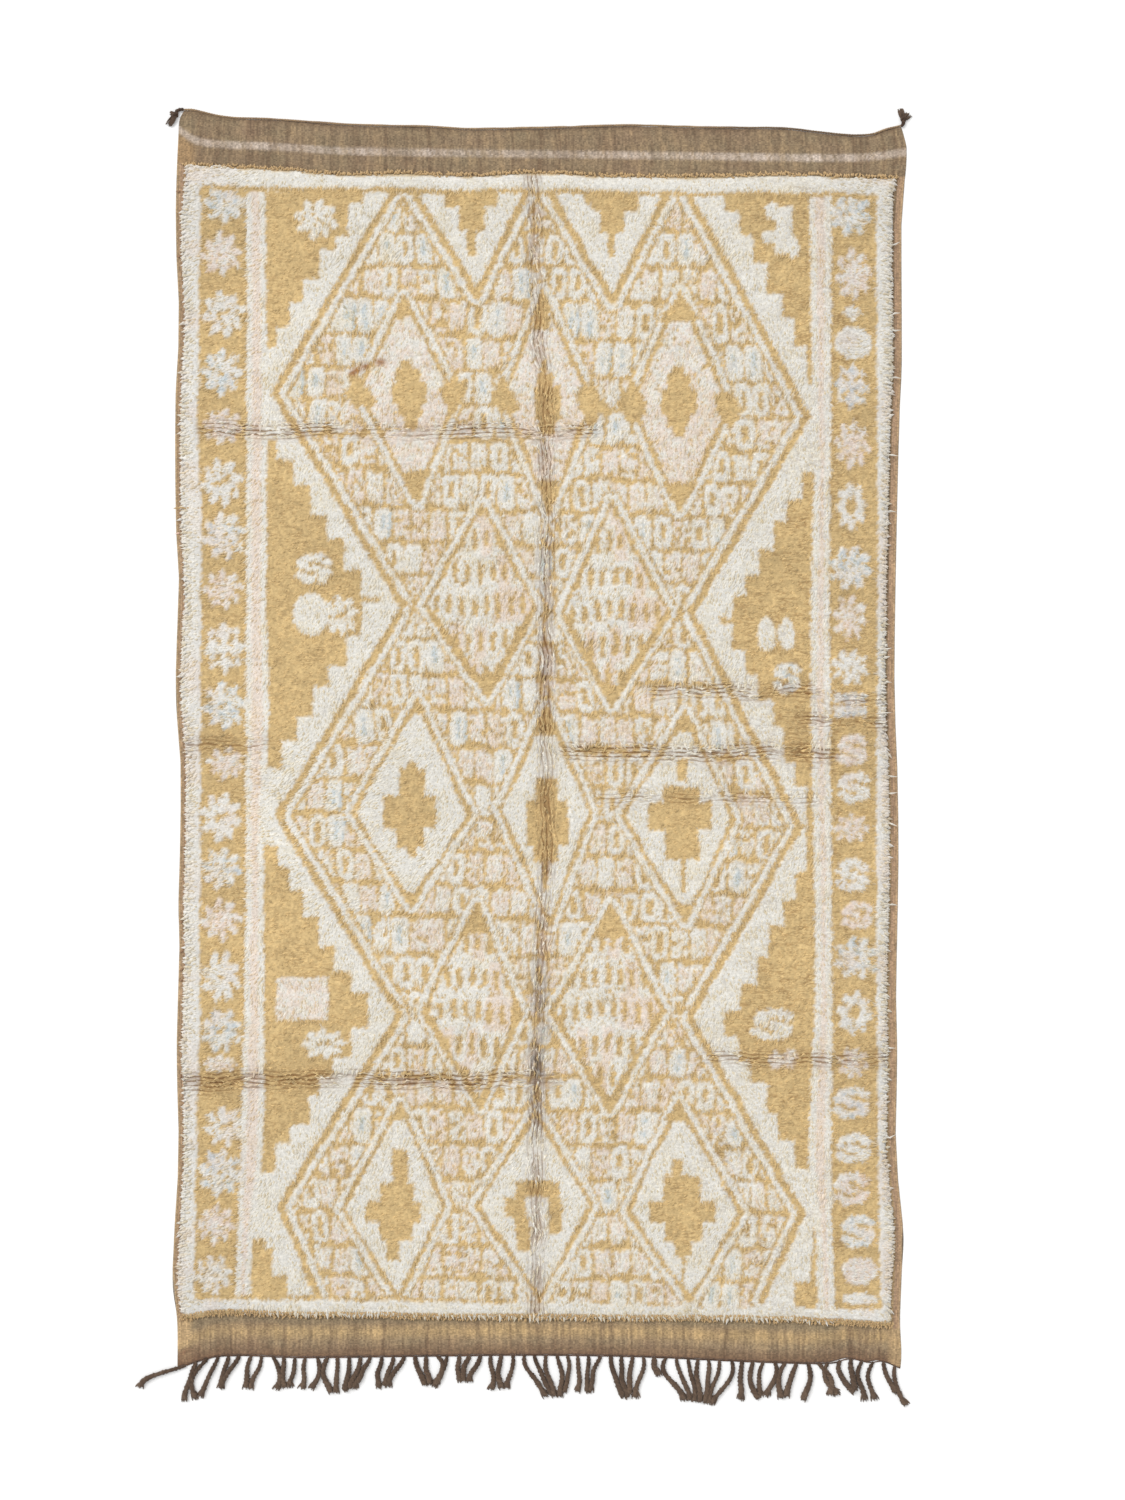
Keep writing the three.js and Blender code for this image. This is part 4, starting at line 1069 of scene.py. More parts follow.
def wool_partings(name, stretch, width):
    """A shared effect: thin winding gaps in matted wool, longest along one direction."""
    group = bpy.data.node_groups.new(name, "ShaderNodeTree")
    group.interface.new_socket("Place", in_out="INPUT", socket_type="NodeSocketVector")
    group.interface.new_socket("Gap", in_out="OUTPUT", socket_type="NodeSocketFloat")
    nodes, links = group.nodes, group.links
    entry, leave = nodes.new("NodeGroupInput"), nodes.new("NodeGroupOutput")
    gaps = []
    for factor, lean in ((1.0, width), (1.7, width * 0.9)):
        scaled = nodes.new("ShaderNodeVectorMath")
        scaled.operation = "MULTIPLY"
        scaled.inputs[1].default_value = [s * factor for s in stretch]
        links.new(entry.outputs["Place"], scaled.inputs[0])
        noise = nodes.new("ShaderNodeTexNoise")
        noise.inputs["Scale"].default_value = 1
        noise.inputs["Detail"].default_value = 0.7
        noise.inputs["Roughness"].default_value = 0.5
        links.new(scaled.outputs["Vector"], noise.inputs["Vector"])
        centred = nodes.new("ShaderNodeMath")
        centred.operation = "SUBTRACT"
        centred.inputs[1].default_value = 0.5
        links.new(noise.outputs["Fac"], centred.inputs[0])
        distance = nodes.new("ShaderNodeMath")
        distance.operation = "ABSOLUTE"
        links.new(centred.outputs["Value"], distance.inputs[0])
        line = nodes.new("ShaderNodeMapRange")
        line.inputs["From Max"].default_value = lean
        line.inputs["To Min"].default_value = 1
        line.inputs["To Max"].default_value = 0
        links.new(distance.outputs["Value"], line.inputs["Value"])
        gaps.append(line)
    both = nodes.new("ShaderNodeMath")
    both.operation = "MAXIMUM"
    links.new(gaps[0].outputs["Result"], both.inputs[0])
    links.new(gaps[1].outputs["Result"], both.inputs[1])
    broken = nodes.new("ShaderNodeTexNoise")
    broken.inputs["Scale"].default_value = 38
    links.new(entry.outputs["Place"], broken.inputs["Vector"])
    kept = nodes.new("ShaderNodeMapRange")
    kept.inputs["From Min"].default_value = 0.42
    kept.inputs["From Max"].default_value = 0.58
    kept.inputs["To Min"].default_value = 0.15
    links.new(broken.outputs["Fac"], kept.inputs["Value"])
    gap = nodes.new("ShaderNodeMath")
    gap.operation = "MULTIPLY"
    links.new(both.outputs["Value"], gap.inputs[0])
    links.new(kept.outputs["Result"], gap.inputs[1])
    links.new(gap.outputs["Value"], leave.inputs["Gap"])
    return group


def bend_partings():
    """A shared effect: the thin lines where bent wool parts, one at each whole count."""
    group = bpy.data.node_groups.new("bend_partings", "ShaderNodeTree")
    group.interface.new_socket("Place", in_out="INPUT", socket_type="NodeSocketVector")
    group.interface.new_socket("Count", in_out="INPUT", socket_type="NodeSocketFloat")
    group.interface.new_socket("Gap", in_out="OUTPUT", socket_type="NodeSocketFloat")
    nodes, links = group.nodes, group.links
    entry, leave = nodes.new("NodeGroupInput"), nodes.new("NodeGroupOutput")
    off_line = nodes.new("ShaderNodeMath")
    off_line.operation = "PINGPONG"
    off_line.inputs[1].default_value = 0.5
    links.new(entry.outputs["Count"], off_line.inputs[0])
    broken = nodes.new("ShaderNodeTexNoise")
    broken.inputs["Scale"].default_value = 45
    links.new(entry.outputs["Place"], broken.inputs["Vector"])
    width = nodes.new("ShaderNodeMapRange")
    width.inputs["From Min"].default_value = 0.4
    width.inputs["From Max"].default_value = 0.62
    width.inputs["To Min"].default_value = 0.12
    width.inputs["To Max"].default_value = 0.5
    links.new(broken.outputs["Fac"], width.inputs["Value"])
    line = nodes.new("ShaderNodeMapRange")
    line.inputs["To Min"].default_value = 1
    line.inputs["To Max"].default_value = 0
    links.new(off_line.outputs["Value"], line.inputs["Value"])
    links.new(width.outputs["Result"], line.inputs["From Max"])
    links.new(line.outputs["Result"], leave.inputs["Gap"])
    return group


gaps_across = wool_partings("partings_across", (20, 92, 20), 0.07)
gaps_up = wool_partings("partings_up", (105, 20, 20), 0.13)

mat_paint = wool_paint("matted_wool", "Object", 165, 150, (0.8, 1.17), 0.8)
nodes, links = mat_paint.node_tree.nodes, mat_paint.node_tree.links
shader = nodes["Principled BSDF"]
place = nodes.new("ShaderNodeTexCoord")
strengths = nodes.new("ShaderNodeAttribute")
strengths.attribute_name = "partings"
split = nodes.new("ShaderNodeSeparateColor")
links.new(strengths.outputs["Color"], split.inputs["Color"])
bend_shown = nodes.new("ShaderNodeAttribute")
bend_shown.attribute_name = "bend_strengths"
counts_shown = nodes.new("ShaderNodeSeparateColor")
links.new(bend_shown.outputs["Color"], counts_shown.inputs["Color"])
masks = []
bend_counts = nodes.new("ShaderNodeAttribute")
bend_counts.attribute_name = "bend_counts"
counts = nodes.new("ShaderNodeSeparateColor")
links.new(bend_counts.outputs["Color"], counts.inputs["Color"])
bend_gaps = bend_partings()
for group, channel in (
    (gaps_across, "Red"), (gaps_up, "Green"), (bend_gaps, "Red"), (bend_gaps, "Green"),
):
    gap = nodes.new("ShaderNodeGroup")
    gap.node_tree = group
    links.new(place.outputs["Object"], gap.inputs["Place"])
    source = split
    if group == bend_gaps:
        links.new(counts.outputs[channel], gap.inputs["Count"])
        source = counts_shown
    strong = nodes.new("ShaderNodeMath")
    strong.operation = "MULTIPLY"
    links.new(gap.outputs["Gap"], strong.inputs[0])
    links.new(source.outputs[channel], strong.inputs[1])
    masks.append(strong)
deepest = masks[0]
for mask in masks[1:]:
    both = nodes.new("ShaderNodeMath")
    both.operation = "MAXIMUM"
    links.new(deepest.outputs["Value"], both.inputs[0])
    links.new(mask.outputs["Value"], both.inputs[1])
    deepest = both
# painted shade and soil: the partings are multiplied towards dark brown
soiled_and_shaded = nodes.new("ShaderNodeMix")
soiled_and_shaded.data_type = "RGBA"
soiled_and_shaded.blend_type = "MULTIPLY"
soiled_and_shaded.inputs["B"].default_value = (0.33, 0.2, 0.09, 1)
links.new(deepest.outputs["Value"], soiled_and_shaded.inputs["Factor"])
links.new(shader.inputs["Base Color"].links[0].from_socket, soiled_and_shaded.inputs["A"])
links.new(soiled_and_shaded.outputs["Result"], shader.inputs["Base Color"])
groove = nodes.new("ShaderNodeBump")
groove.inputs["Distance"].default_value = 0.0015
groove.inputs["Strength"].default_value = 0.3
groove.invert = True
links.new(deepest.outputs["Value"], groove.inputs["Height"])
links.new(shader.inputs["Normal"].links[0].from_socket, groove.inputs["Normal"])
links.new(groove.outputs["Normal"], shader.inputs["Normal"])

part_across = 0.34 + 0.2 * ease((mat_x - 250) / 350) * ease((830 - mat_x) / 90) - 0.25 * mat_white
part_across = np.clip(part_across + 0.12 * patchy(mat_x, mat_y, 69, 110), 0.02, 1)
part_across = np.clip(part_across + 0.4 * mat_near, 0, 1) * (1 - 0.8 * mat_fold)
part_up = np.clip(0.5 * mat_fold, 0, 1)
fold_shown = np.exp(-((mat_off_fold / 24) ** 4)) * (0.75 + 0.25 * soft_noise(mat_y, 105, 50))
crease_shown = np.clip(
    1.6 * mat_near + 0.4 * mat_soil_and_shade, 0, 1
) * ease(1.1 + patchy(mat_x, mat_y, 106, 60))
counts_at = np.stack([fold_lines(mat_x, mat_y), crease_lines(mat_x, mat_y)], -1)
LENGTHS = 3
cuts = np.linspace(0, mat_rows - 1, LENGTHS + 1).astype(int)
for number in range(LENGTHS):
    under_next = 4 if number else 0
    over_next = 1 if number < LENGTHS - 1 else 0
    rows = slice(cuts[number] - under_next, cuts[number + 1] + 1 + over_next)
    face = np.stack([mat_x[rows], mat_y[rows], mat_top[rows]], -1)
    # its first rows are tucked just under the length before, and its last under the next
    face[:under_next, :, 2] -= np.array([1.6, 1.1, 0.6, 0.2])[:under_next, None]
    face[len(face) - over_next:, :, 2] -= 0.8
    row_count = face.shape[0]
    thin_columns = np.linspace(0, len(shape_x) - 1, 40).astype(int)
    thin_rows = np.linspace(0, row_count - 1, 24).astype(int)
    under = face[thin_rows][:, thin_columns].copy()
    under[..., 2] = PILE_BASE
    face_size, under_size = (len(shape_x), row_count), (len(thin_columns), len(thin_rows))
    points = np.concatenate([face.reshape(-1, 3), under.reshape(-1, 3)])
    start = face.shape[0] * face.shape[1]
    faces = [grid_triangles(*face_size), grid_triangles(*under_size, start=start)[:, ::-1]]
    across_share = np.broadcast_to(np.linspace(0, 1, len(shape_x)), face.shape[:2])
    up_share = np.broadcast_to(np.linspace(0, 1, row_count)[:, None], face.shape[:2])
    face_uv = np.stack([0.02 + 0.72 * across_share, 0.02 + 0.96 * up_share], -1)
    under_uv = face_uv[thin_rows][:, thin_columns] * [0.22 / 0.72, 1] + [0.765, 0]
    point_uv = np.concatenate([face_uv.reshape(-1, 2), under_uv.reshape(-1, 2)])
    column_lists = (np.arange(len(shape_x)), thin_columns)
    row_lists = (np.arange(row_count), thin_rows)
    for side, (face_rim, under_rim) in enumerate(
        zip(grid_sides(*face_size, 0), grid_sides(*under_size, start))
    ):
        marks = [lists if side < 2 else (lists.max() - lists)[::-1]
                 for lists in (column_lists if side % 2 == 0 else row_lists)]
        faces.append(np.array(lace(under_rim, face_rim, marks[1], marks[0])))
    faces = np.concatenate(faces)
    corner_uv = point_uv[faces].copy()
    on_under = faces >= start
    wall = on_under.any(1) & ~on_under.all(1)
    moved = (corner_uv[wall] - [0.765, 0]) / [0.22 / 0.72, 1]
    middle = np.array([0.38, 0.5])
    walls = np.where(on_under[wall][..., None], moved, corner_uv[wall])
    outward = walls.mean(1, keepdims=True) - middle
    sideways = np.abs(outward[..., :1]) / 0.36 > np.abs(outward[..., 1:]) / 0.48
    push = np.where(sideways, [[1.0, 0.0]], [[0.0, 1.0]]) * np.sign(outward) * 0.006
    corner_uv[wall] = np.where(on_under[wall][..., None], walls + push, walls)
    under_colour = np.full((len(points) - start, 3), dye(196, 168, 118))
    colours = np.concatenate([mat_colour[rows].reshape(-1, 3), under_colour])
    smooth = np.ones(len(faces), bool)
    smooth[wall] = False
    piece = new_piece(
        f"pile_body_{number + 1}", points, faces, corner_uv, np.clip(colours, 0, 0.96), smooth
    )
    layer = piece.data.color_attributes.new(name="partings", type="FLOAT_COLOR", domain="POINT")
    strength = np.zeros((len(points), 4), np.float32)
    strength[:start, 0] = part_across[rows].ravel()
    strength[:start, 1] = part_up[rows].ravel()
    strength[:, 3] = 1
    layer.data.foreach_set("color", strength.ravel())
    for attribute, values in (
        ("bend_strengths", np.stack([fold_shown, crease_shown], -1)), ("bend_counts", counts_at),
    ):
        layer = piece.data.color_attributes.new(name=attribute, type="FLOAT_COLOR", domain="POINT")
        stored = np.zeros((len(points), 4), np.float32)
        stored[:start, :2] = values[rows].reshape(-1, 2)
        stored[:, 3] = 1
        layer.data.foreach_set("color", stored.ravel())
    piece.data.materials.append(mat_paint)
    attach(piece, "root")
    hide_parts("wool_pile")

# The locks. The ends of the longer knots lie loose on the matted wool: most of them white,
# combed down the rug in its middle and sideways near its edges and along the creases.
LOCK_ROW = 8.4
LOCK_PITCH = 6.9
UP = np.array([0, 0, 1.0])
LOCK_FACES = np.array([(0, 2, 1), (0, 3, 2), (0, 1, 3), (4, 1, 2), (4, 2, 3), (4, 3, 1)])
draw = np.random.default_rng(1740)


def spindles(root, heading, long, wide, lift, drop, curl):
    """Locks of wool, thickest in the middle, each from its root along its own heading."""
    flat = np.zeros(len(heading))
    lie = np.stack([np.cos(heading), np.sin(heading), flat], 1)
    aside = np.stack([-np.sin(heading), np.cos(heading), flat], 1)
    middle = root + lie * (0.45 * long)[:, None] + aside * curl[:, None] + UP * lift[:, None]
    tip = root + lie * long[:, None] - UP * drop[:, None]
    girth = aside * wide[:, None]
    thick = UP * (0.36 * wide)[:, None]
    return np.stack([root, middle - 0.5 * girth - 0.45 * thick, middle + 0.5 * girth - 0.45 * thick,
                     middle + 0.55 * thick, tip], 1)


def lock_piece(name, points, colours, paint):
    """One joined mesh of many locks, each with its own small place on the map."""
    count = len(points)
    side = int(math.ceil(math.sqrt(count)))
    cell_at = np.stack([np.arange(count) % side, np.arange(count) // side], 1) / side
    faces = (LOCK_FACES[None] + (np.arange(count) * 5)[:, None, None]).reshape(-1, 3)
    thirds, lines = (0.05, 0.35, 0.65, 0.95), (0.05, 0.5, 0.95)
    spans = [(thirds[k], thirds[k + 1]) for k in range(3)]
    lock_map = np.array(
        [[((a + b) / 2, lines[0]), (b, lines[1]), (a, lines[1])] for a, b in spans]
        + [[((a + b) / 2, lines[2]), (a, lines[1]), (b, lines[1])] for a, b in spans]
    )
    uv = (lock_map[None] / side + cell_at[:, None, None, :]).reshape(-1, 2)
    piece = new_piece(
        name, points.reshape(-1, 3), faces, uv, np.clip(colours, 0, 0.97).reshape(-1, 3), False
    )
    piece.data.materials.append(paint)
    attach(piece, "root")
    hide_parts("wool_pile")


def lock_colours(points, tones, soil_and_shade, cream):
    """The wool of each lock, root, middle and tip, with painted shade making it warmer and darker
    towards its root, soil and painted shade near the fold and creases, and some of the white ones
    yellowed."""
    colours = np.empty((len(points), 5, 3))
    for corner in range(5):
        shade = (1.0, 0.3, 0.3, 0, 0)[corner]
        at = points[:, corner] if corner else 0.5 * (points[:, 0] + points[:, 3])
        colour, white = wool_colour(at[:, 0], at[:, 1], 2.5)
        colour = colour * (1 - (cream * white)[:, None] * np.array([0.16, 0.25, 0.42]))
        # painted shade at each lock's root, deeper lower down the rug
        root_shade_depth = 0.88 + 0.42 * ease((250 - at[:, 1]) / 700)
        root_shade_factor = 1.015 - shade * root_shade_depth[:, None] * np.array([0.22, 0.27, 0.37])
        colours[:, corner] = mixed(colour * root_shade_factor * tones[:, None], SOIL_AND_SHADE, soil_and_shade * (0.2 + 0.5 * shade))
    return colours


def lie_of_locks(x, y):
    """Which way the locks are combed."""
    sideways = ease((-x - 640) / 120) - ease((x - 680) / 110)
    low_left = ease((-x - 160) / 240) * ease((80 - y) / 90) * ease((y + 470) / 90)
    sideways = np.clip(sideways + 0.85 * low_left, -1, 1)
    lean_x = -sideways + 0.6 * patchy(x, y, 71, 70) + 0.35 * patchy(x, y, 72, 26)
    lean_y = -(1.15 - np.abs(sideways)) + 0.25 * patchy(x, y, 73, 50)
    off_fold = off_the_fold(x, y)
    lean_x = lean_x + 0.5 * np.exp(-((off_fold / 26) ** 2)) * np.sign(off_fold)
    near = np.clip(1.6 * creased(x, y)[0], 0, 1)
    return lean_x * (1 + near), lean_y * (1 - 0.8 * near)


lock_rows = int(round((RUG_LENGTH - 216) / LOCK_ROW))
per_row = int(round((RUG_WIDTH - 36) / LOCK_PITCH))
along_row, row_up = np.meshgrid((np.arange(per_row) + 0.5) / per_row,
                                (np.arange(lock_rows) + 0.5) / lock_rows)
along_row = along_row + 0.5 / per_row * (np.arange(lock_rows)[:, None] % 2)
along_row = np.clip(along_row + draw.normal(0, 0.24, along_row.shape) / per_row, 0, 1)
row_up = np.clip(row_up + draw.normal(0, 0.28, row_up.shape) / lock_rows, 0, 1)
across_guess = along_row * RUG_WIDTH - half_width
high, low = pile_top(across_guess) - 3, pile_bottom(across_guess) + 17
root_y = low + (high - low) * row_up
rim_left = left_edge(root_y) + pile_inset_left(root_y) + 6
rim_right = right_edge(root_y) - PILE_INSET_RIGHT - 6
root_x = rim_left + (rim_right - rim_left) * along_row
inner = np.minimum(root_x - rim_left, rim_right - root_x)
inner = np.minimum(inner, np.minimum(high - root_y, root_y - low)).ravel()
root_x, root_y = root_x.ravel(), root_y.ravel()
is_gold = pattern_at(*charted(root_x, root_y)) == GOLD
kept_share = np.where(is_gold, 0.4, 0.97)
off_fold = off_the_fold(root_x, root_y)
strands = np.maximum(
    np.exp(-((off_fold / 26) ** 4)), np.clip(1.3 * creased(root_x, root_y)[0], 0, 1)
)
kept_share = kept_share + (0.5 - kept_share) * strands
kept = draw.random(len(root_x)) < np.where(inner < 9, 0.97, kept_share)
root_x, root_y, inner, is_gold = root_x[kept], root_y[kept], inner[kept], is_gold[kept]
count = len(root_x)
# in the fold and the creases they lie along the strands between the partings
in_fold = np.exp(-((off_the_fold(root_x, root_y) / 26) ** 4))
near_crease = np.clip(1.4 * creased(root_x, root_y)[0], 0, 1) * (in_fold < 0.6)
count_at = fold_lines(root_x, root_y)
snap = np.where(in_fold > 0.35, np.floor(count_at) + 0.5 - count_at, 0) * BEND_SPACING
root_x = root_x + snap + draw.normal(0, 0.6, count) * (in_fold > 0.35)
count_at = crease_lines(root_x, root_y)
snap = np.where(near_crease > 0.4, np.floor(count_at) + 0.5 - count_at, 0) * BEND_SPACING
root_y = root_y + snap + draw.normal(0, 0.6, count) * (near_crease > 0.4)
lean_x, lean_y = lie_of_locks(root_x, root_y)
heading = np.arctan2(lean_y, lean_x) + draw.normal(0, 0.16, count)
slope = (fold_lines(root_x, root_y - 12) - fold_lines(root_x, root_y + 12)) * BEND_SPACING / 24
down_fold = -math.pi / 2 - slope + draw.normal(0, 0.1, count)
heading = np.where(in_fold > 0.35, down_fold, heading)
along_crease = np.where(np.cos(heading) < 0, math.pi, 0) + draw.normal(0, 0.1, count)
heading = np.where(near_crease > 0.4, along_crease, heading)
sideways = np.round(draw.random(count)) * math.pi + draw.normal(0, 0.4, count)
heading = np.where(is_gold & (in_fold < 0.35) & (near_crease < 0.4), sideways, heading)
long = np.where(is_gold, draw.uniform(11, 17, count), draw.uniform(16, 27, count))
wide = np.where(is_gold, draw.uniform(5.0, 6.6, count), draw.uniform(6.2, 8.6, count))
off_fold = off_the_fold(root_x, root_y)
_, _, crease_soil_and_shade = creased(root_x, root_y)
long = long * (1 + 0.3 * in_fold + 0.2 * near_crease)
# most tips end near the pile's edge, and a few reach over the bare selvedge
to_side = np.where(np.cos(heading) < 0, root_x - left_edge(root_y) - pile_inset_left(root_y),
                   right_edge(root_y) - PILE_INSET_RIGHT - root_x)
reach = np.where(draw.random(count) < 0.12, draw.uniform(6, 15, count), draw.uniform(0, 5, count))
long = np.minimum(long, (to_side + reach) / np.maximum(np.abs(np.cos(heading)), 0.1))
wide = np.where((in_fold > 0.35) | (near_crease > 0.4), draw.uniform(4.0, 5.6, count), wide)
edge_share = np.sqrt(1 - (1 - np.clip((inner + 6) / 30, 0, 1)) ** 2)
top = PILE_BASE + (pile_height(root_x, root_y) - PILE_BASE - 1.5) * edge_share
lift = np.where(is_gold, 1.4, 2.4) + draw.uniform(0, 0.9, count) + 0.8 * in_fold + 0.7 * near_crease
past = np.maximum(left_edge(root_y) + pile_inset_left(root_y) - root_x - long * np.cos(heading),
                  root_x + long * np.cos(heading) - right_edge(root_y) + PILE_INSET_RIGHT)
drop = 0.2 + (top - PILE_BASE - 2) * 0.8 * np.clip(past / 8, 0, 1) - 0.6 * np.clip(inner / 20, 0, 1)
lock_points = spindles(np.stack([root_x, root_y, top - 1.6], 1), heading, long, wide, lift, drop,
                       draw.normal(0, 1.4, count) * (1 + in_fold + near_crease))
lock_points[..., 2] = np.maximum(lock_points[..., 2], PILE_BASE + 0.5)
tones = 1 + draw.normal(0, 1, count) * (
    np.where(is_gold, 0.085, 0.04) + 0.06 * np.maximum(in_fold, near_crease)
)
# soil and painted shade on the locks near the fold and in the creases
soil_and_shade_chance = np.maximum(
    (0.3 + 0.15 * is_gold) * np.exp(-((off_fold / 15) ** 2)), 0.3 * crease_soil_and_shade
)
soil_and_shade = np.where(draw.random(count) < soil_and_shade_chance, draw.uniform(0.5, 1.1, count), 0.12 * soil_and_shade_chance)
colours = lock_colours(lock_points, tones, soil_and_shade, draw.random(count) ** 1.6)
index = np.arange(count)
inked = inky(root_x, root_y) * (by_chance(index, index * 0, index * 0 + 97) < 0.5)
for corner, share in enumerate((1, 0.8, 0.8, 0.4, 0.1)):
    colours[:, corner] = mixed(colours[:, corner], INK, 0.8 * share * inked)
lock_paint = wool_paint("lock_wool", "UV", 260, 900, (0.9, 1.08), 0.3)
LOCK_PIECES = 3
order = np.argsort(root_y, kind="stable")
for number, chosen in enumerate(np.array_split(order, LOCK_PIECES), 1):
    lock_piece(f"pile_locks_{number}", lock_points[chosen], colours[chosen], lock_paint)

# The loose ends. A row of short gold knots closes the pile at each end, brown selvedge
# wool fluffs out at the left, and single tufts lie across the edges where they came loose.
draw = np.random.default_rng(305)
tuft_points, tuft_colours = [], []
LOOSE_WHITE, LOOSE_GOLD = dye(226, 220, 208), dye(194, 162, 114)
LOOSE_BROWN, LOOSE_PINK = dye(158, 122, 92), dye(222, 188, 168)


def add_tufts(x, y, z, heading, long, wide, colour, lift=1.4, drop=1.0, curl=1.2):
    count = len(x)
    root = np.stack([x, y, np.broadcast_to(z, x.shape)], 1)
    full = np.ones(count)
    tuft_points.append(spindles(root, heading, full * long, full * wide, full * lift, full * drop,
                                draw.normal(0, curl, count)))
    shades = colour * (1 + draw.normal(0, 0.05, (count, 1)))
    # painted shade: each tuft is darker at its root
    tuft_colours.append(shades[:, None] * np.array([0.8, 0.93, 0.93, 1, 1])[None, :, None])


for row in range(2):
    x = np.arange(
        left_edge(np.array([1400.0]))[0] + 20, right_edge(np.array([1400.0]))[0] - 22, 5.2
    )
    x = x + draw.normal(0, 1.4, len(x))
    ragged = 2.5 * soft_noise(x, 131, 18) + 1.5 * soft_noise(x, 132 + row, 9)
    add_tufts(x, pile_top(x) - 2 - 3 * row + ragged, PILE_BASE + 3 + 3.5 * row,
              math.pi / 2 + draw.normal(0, 0.8, len(x)), draw.uniform(9, 13, len(x)), 5.6,
              LOOSE_GOLD, drop=2.0 + 2.5 * row)
for row in range(3):
    x = np.arange(
        left_edge(np.array([-1425.0]))[0] + 10, right_edge(np.array([-1425.0]))[0] - 18, 5.4
    )
    x = x + draw.normal(0, 1.6, len(x))
    ragged = 2.2 * soft_noise(x, 135, 24) + 1.2 * soft_noise(x, 136 + row, 9)
    add_tufts(x, pile_bottom(x) + 6 + 5.5 * row + ragged, PILE_BASE + 3.5 + 3.4 * row,
              -math.pi / 2 + draw.normal(0, 0.45, len(x)), draw.uniform(9, 14, len(x)), 5.2,
              LOOSE_GOLD, drop=1.5 + 1.6 * row)


def rug_height(*pixels_down):
    """Heights up the rug for a list of places measured down the picture."""
    return (741.5 - np.array(pixels_down, float)) * 2.4725


# white tufts that lie across the right selvedge, one of them long
y = rug_height(246, 317, 331, 378, 455, 512, 648, 683, 775, 793, 822, 905, 1046, 1137)
add_tufts(right_edge(y) - 30, y, PILE_BASE + 8, draw.normal(0, 0.25, len(y)),
          draw.uniform(24, 33, len(y)), 4.6, LOOSE_WHITE, lift=1.5, drop=6.5, curl=2.5)
y = rug_height(714)
add_tufts(right_edge(y) - 52, y, PILE_BASE + 12.5, np.array([0.08]), 46, 4.2, LOOSE_WHITE, lift=1.5,
          drop=9.5, curl=1)
# selvedge wool at the left
y = rug_height(191, 257, 923, 950, 968, 980, 1074)
add_tufts(left_edge(y) + 12, y, CLOTH_THICK + 1.2, math.pi + draw.normal(0, 0.5, len(y)), 13, 5.5,
          LOOSE_BROWN, drop=0.6)
y = rug_height(533)
add_tufts(left_edge(y) + 12, y, CLOTH_THICK + 1.2, np.array([3.3]), 15, 5.5, LOOSE_PINK, drop=0.6)
# one gold yarn drawn across the white border
x = np.arange(-905, -838, 9.0)
add_tufts(x, 575 + 2 * np.sin(x / 17), pile_height(x, x * 0 + 575) - 2.2,
          draw.normal(0.1, 0.2, len(x)),
          17, 5.0, LOOSE_GOLD, lift=2.0, drop=-0.8)
loose_points = np.concatenate(tuft_points)
loose_points[..., 2] = np.maximum(loose_points[..., 2], CLOTH_THICK + GAP + 0.2)
lock_piece("loose_tufts", loose_points, np.concatenate(tuft_colours), lock_paint)

# The heading cord: two dark goat-hair yarns twisted together along the edge where the
# weaving began, caught down by the first wefts.
CORD_DIAMETER = 6


def yarn_mesh(name, yarns, sides=6):
    """One piece of closed round yarns. Each has its centre line, radii and colours."""
    points, faces, uv, colours = [], [], [], []
    start = 0
    cells = int(math.ceil(math.sqrt(len(yarns))))
    turn = np.arange(sides) * 2 * math.pi / sides
    for number, (centre, radius, colour) in enumerate(yarns):
        n = len(centre)
        ahead = np.gradient(centre, axis=0)
        ahead /= np.linalg.norm(ahead, axis=1, keepdims=True)
        side = np.cross(ahead, UP)
        side /= np.linalg.norm(side, axis=1, keepdims=True) + 1e-9
        over = np.cross(side, ahead)
        ring = side[:, None] * np.cos(turn)[:, None] + over[:, None] * np.sin(turn)[:, None]
        ring = centre[:, None] + ring * radius[:, None, None]
        ends = [centre[0] - ahead[0] * radius[0] * 0.5, centre[-1] + ahead[-1] * radius[-1] * 0.5]
        corners = np.concatenate([ring.reshape(-1, 3), ends])
        corners[:, 2] = np.maximum(corners[:, 2], 0.1)  # pressed flat where it meets the floor
        points.append(corners)
        colours.append(np.concatenate([np.repeat(colour, sides, axis=0), colour[[0, -1]]]))
        j, i = np.meshgrid(np.arange(n - 1), np.arange(sides), indexing="ij")
        i, j = i.ravel(), j.ravel()
        a, b = j * sides + i, j * sides + (i + 1) % sides
        c, d = b + sides, a + sides
        s = np.arange(sides)
        after = (s + 1) % sides
        last = (n - 1) * sides
        first_cap = np.stack([s * 0 + n * sides, s, after], 1)
        last_cap = np.stack([s * 0 + n * sides + 1, last + after, last + s], 1)
        faces.append(start + np.concatenate([
            np.stack([a, d, c], 1), np.stack([a, c, b], 1), first_cap, last_cap,
        ]))
        u0, u1 = 0.05 + 0.9 * i / sides, 0.05 + 0.9 * (i + 1) / sides
        v0, v1 = 0.1 + 0.8 * j / (n - 1), 0.1 + 0.8 * (j + 1) / (n - 1)
        cap_u = 0.05 + 0.9 * s / sides
        cap_mid, cap_end = cap_u + 0.45 / sides, cap_u + 0.9 / sides
        local = np.concatenate([
            np.stack([u0, v0, u0, v1, u1, v1], 1), np.stack([u0, v0, u1, v1, u1, v0], 1),
            np.stack([cap_mid, s * 0 + 0.02, cap_u, s * 0 + 0.1, cap_end, s * 0 + 0.1], 1),
            np.stack([cap_mid, s * 0 + 0.98, cap_end, s * 0 + 0.9, cap_u, s * 0 + 0.9], 1),
        ]).reshape(-1, 2)
        uv.append((local + [number % cells, number // cells]) / cells)
        start += n * sides + 2
    return new_piece(name, np.concatenate(points), np.concatenate(faces), np.concatenate(uv),
                     np.clip(np.concatenate(colours), 0, 1))


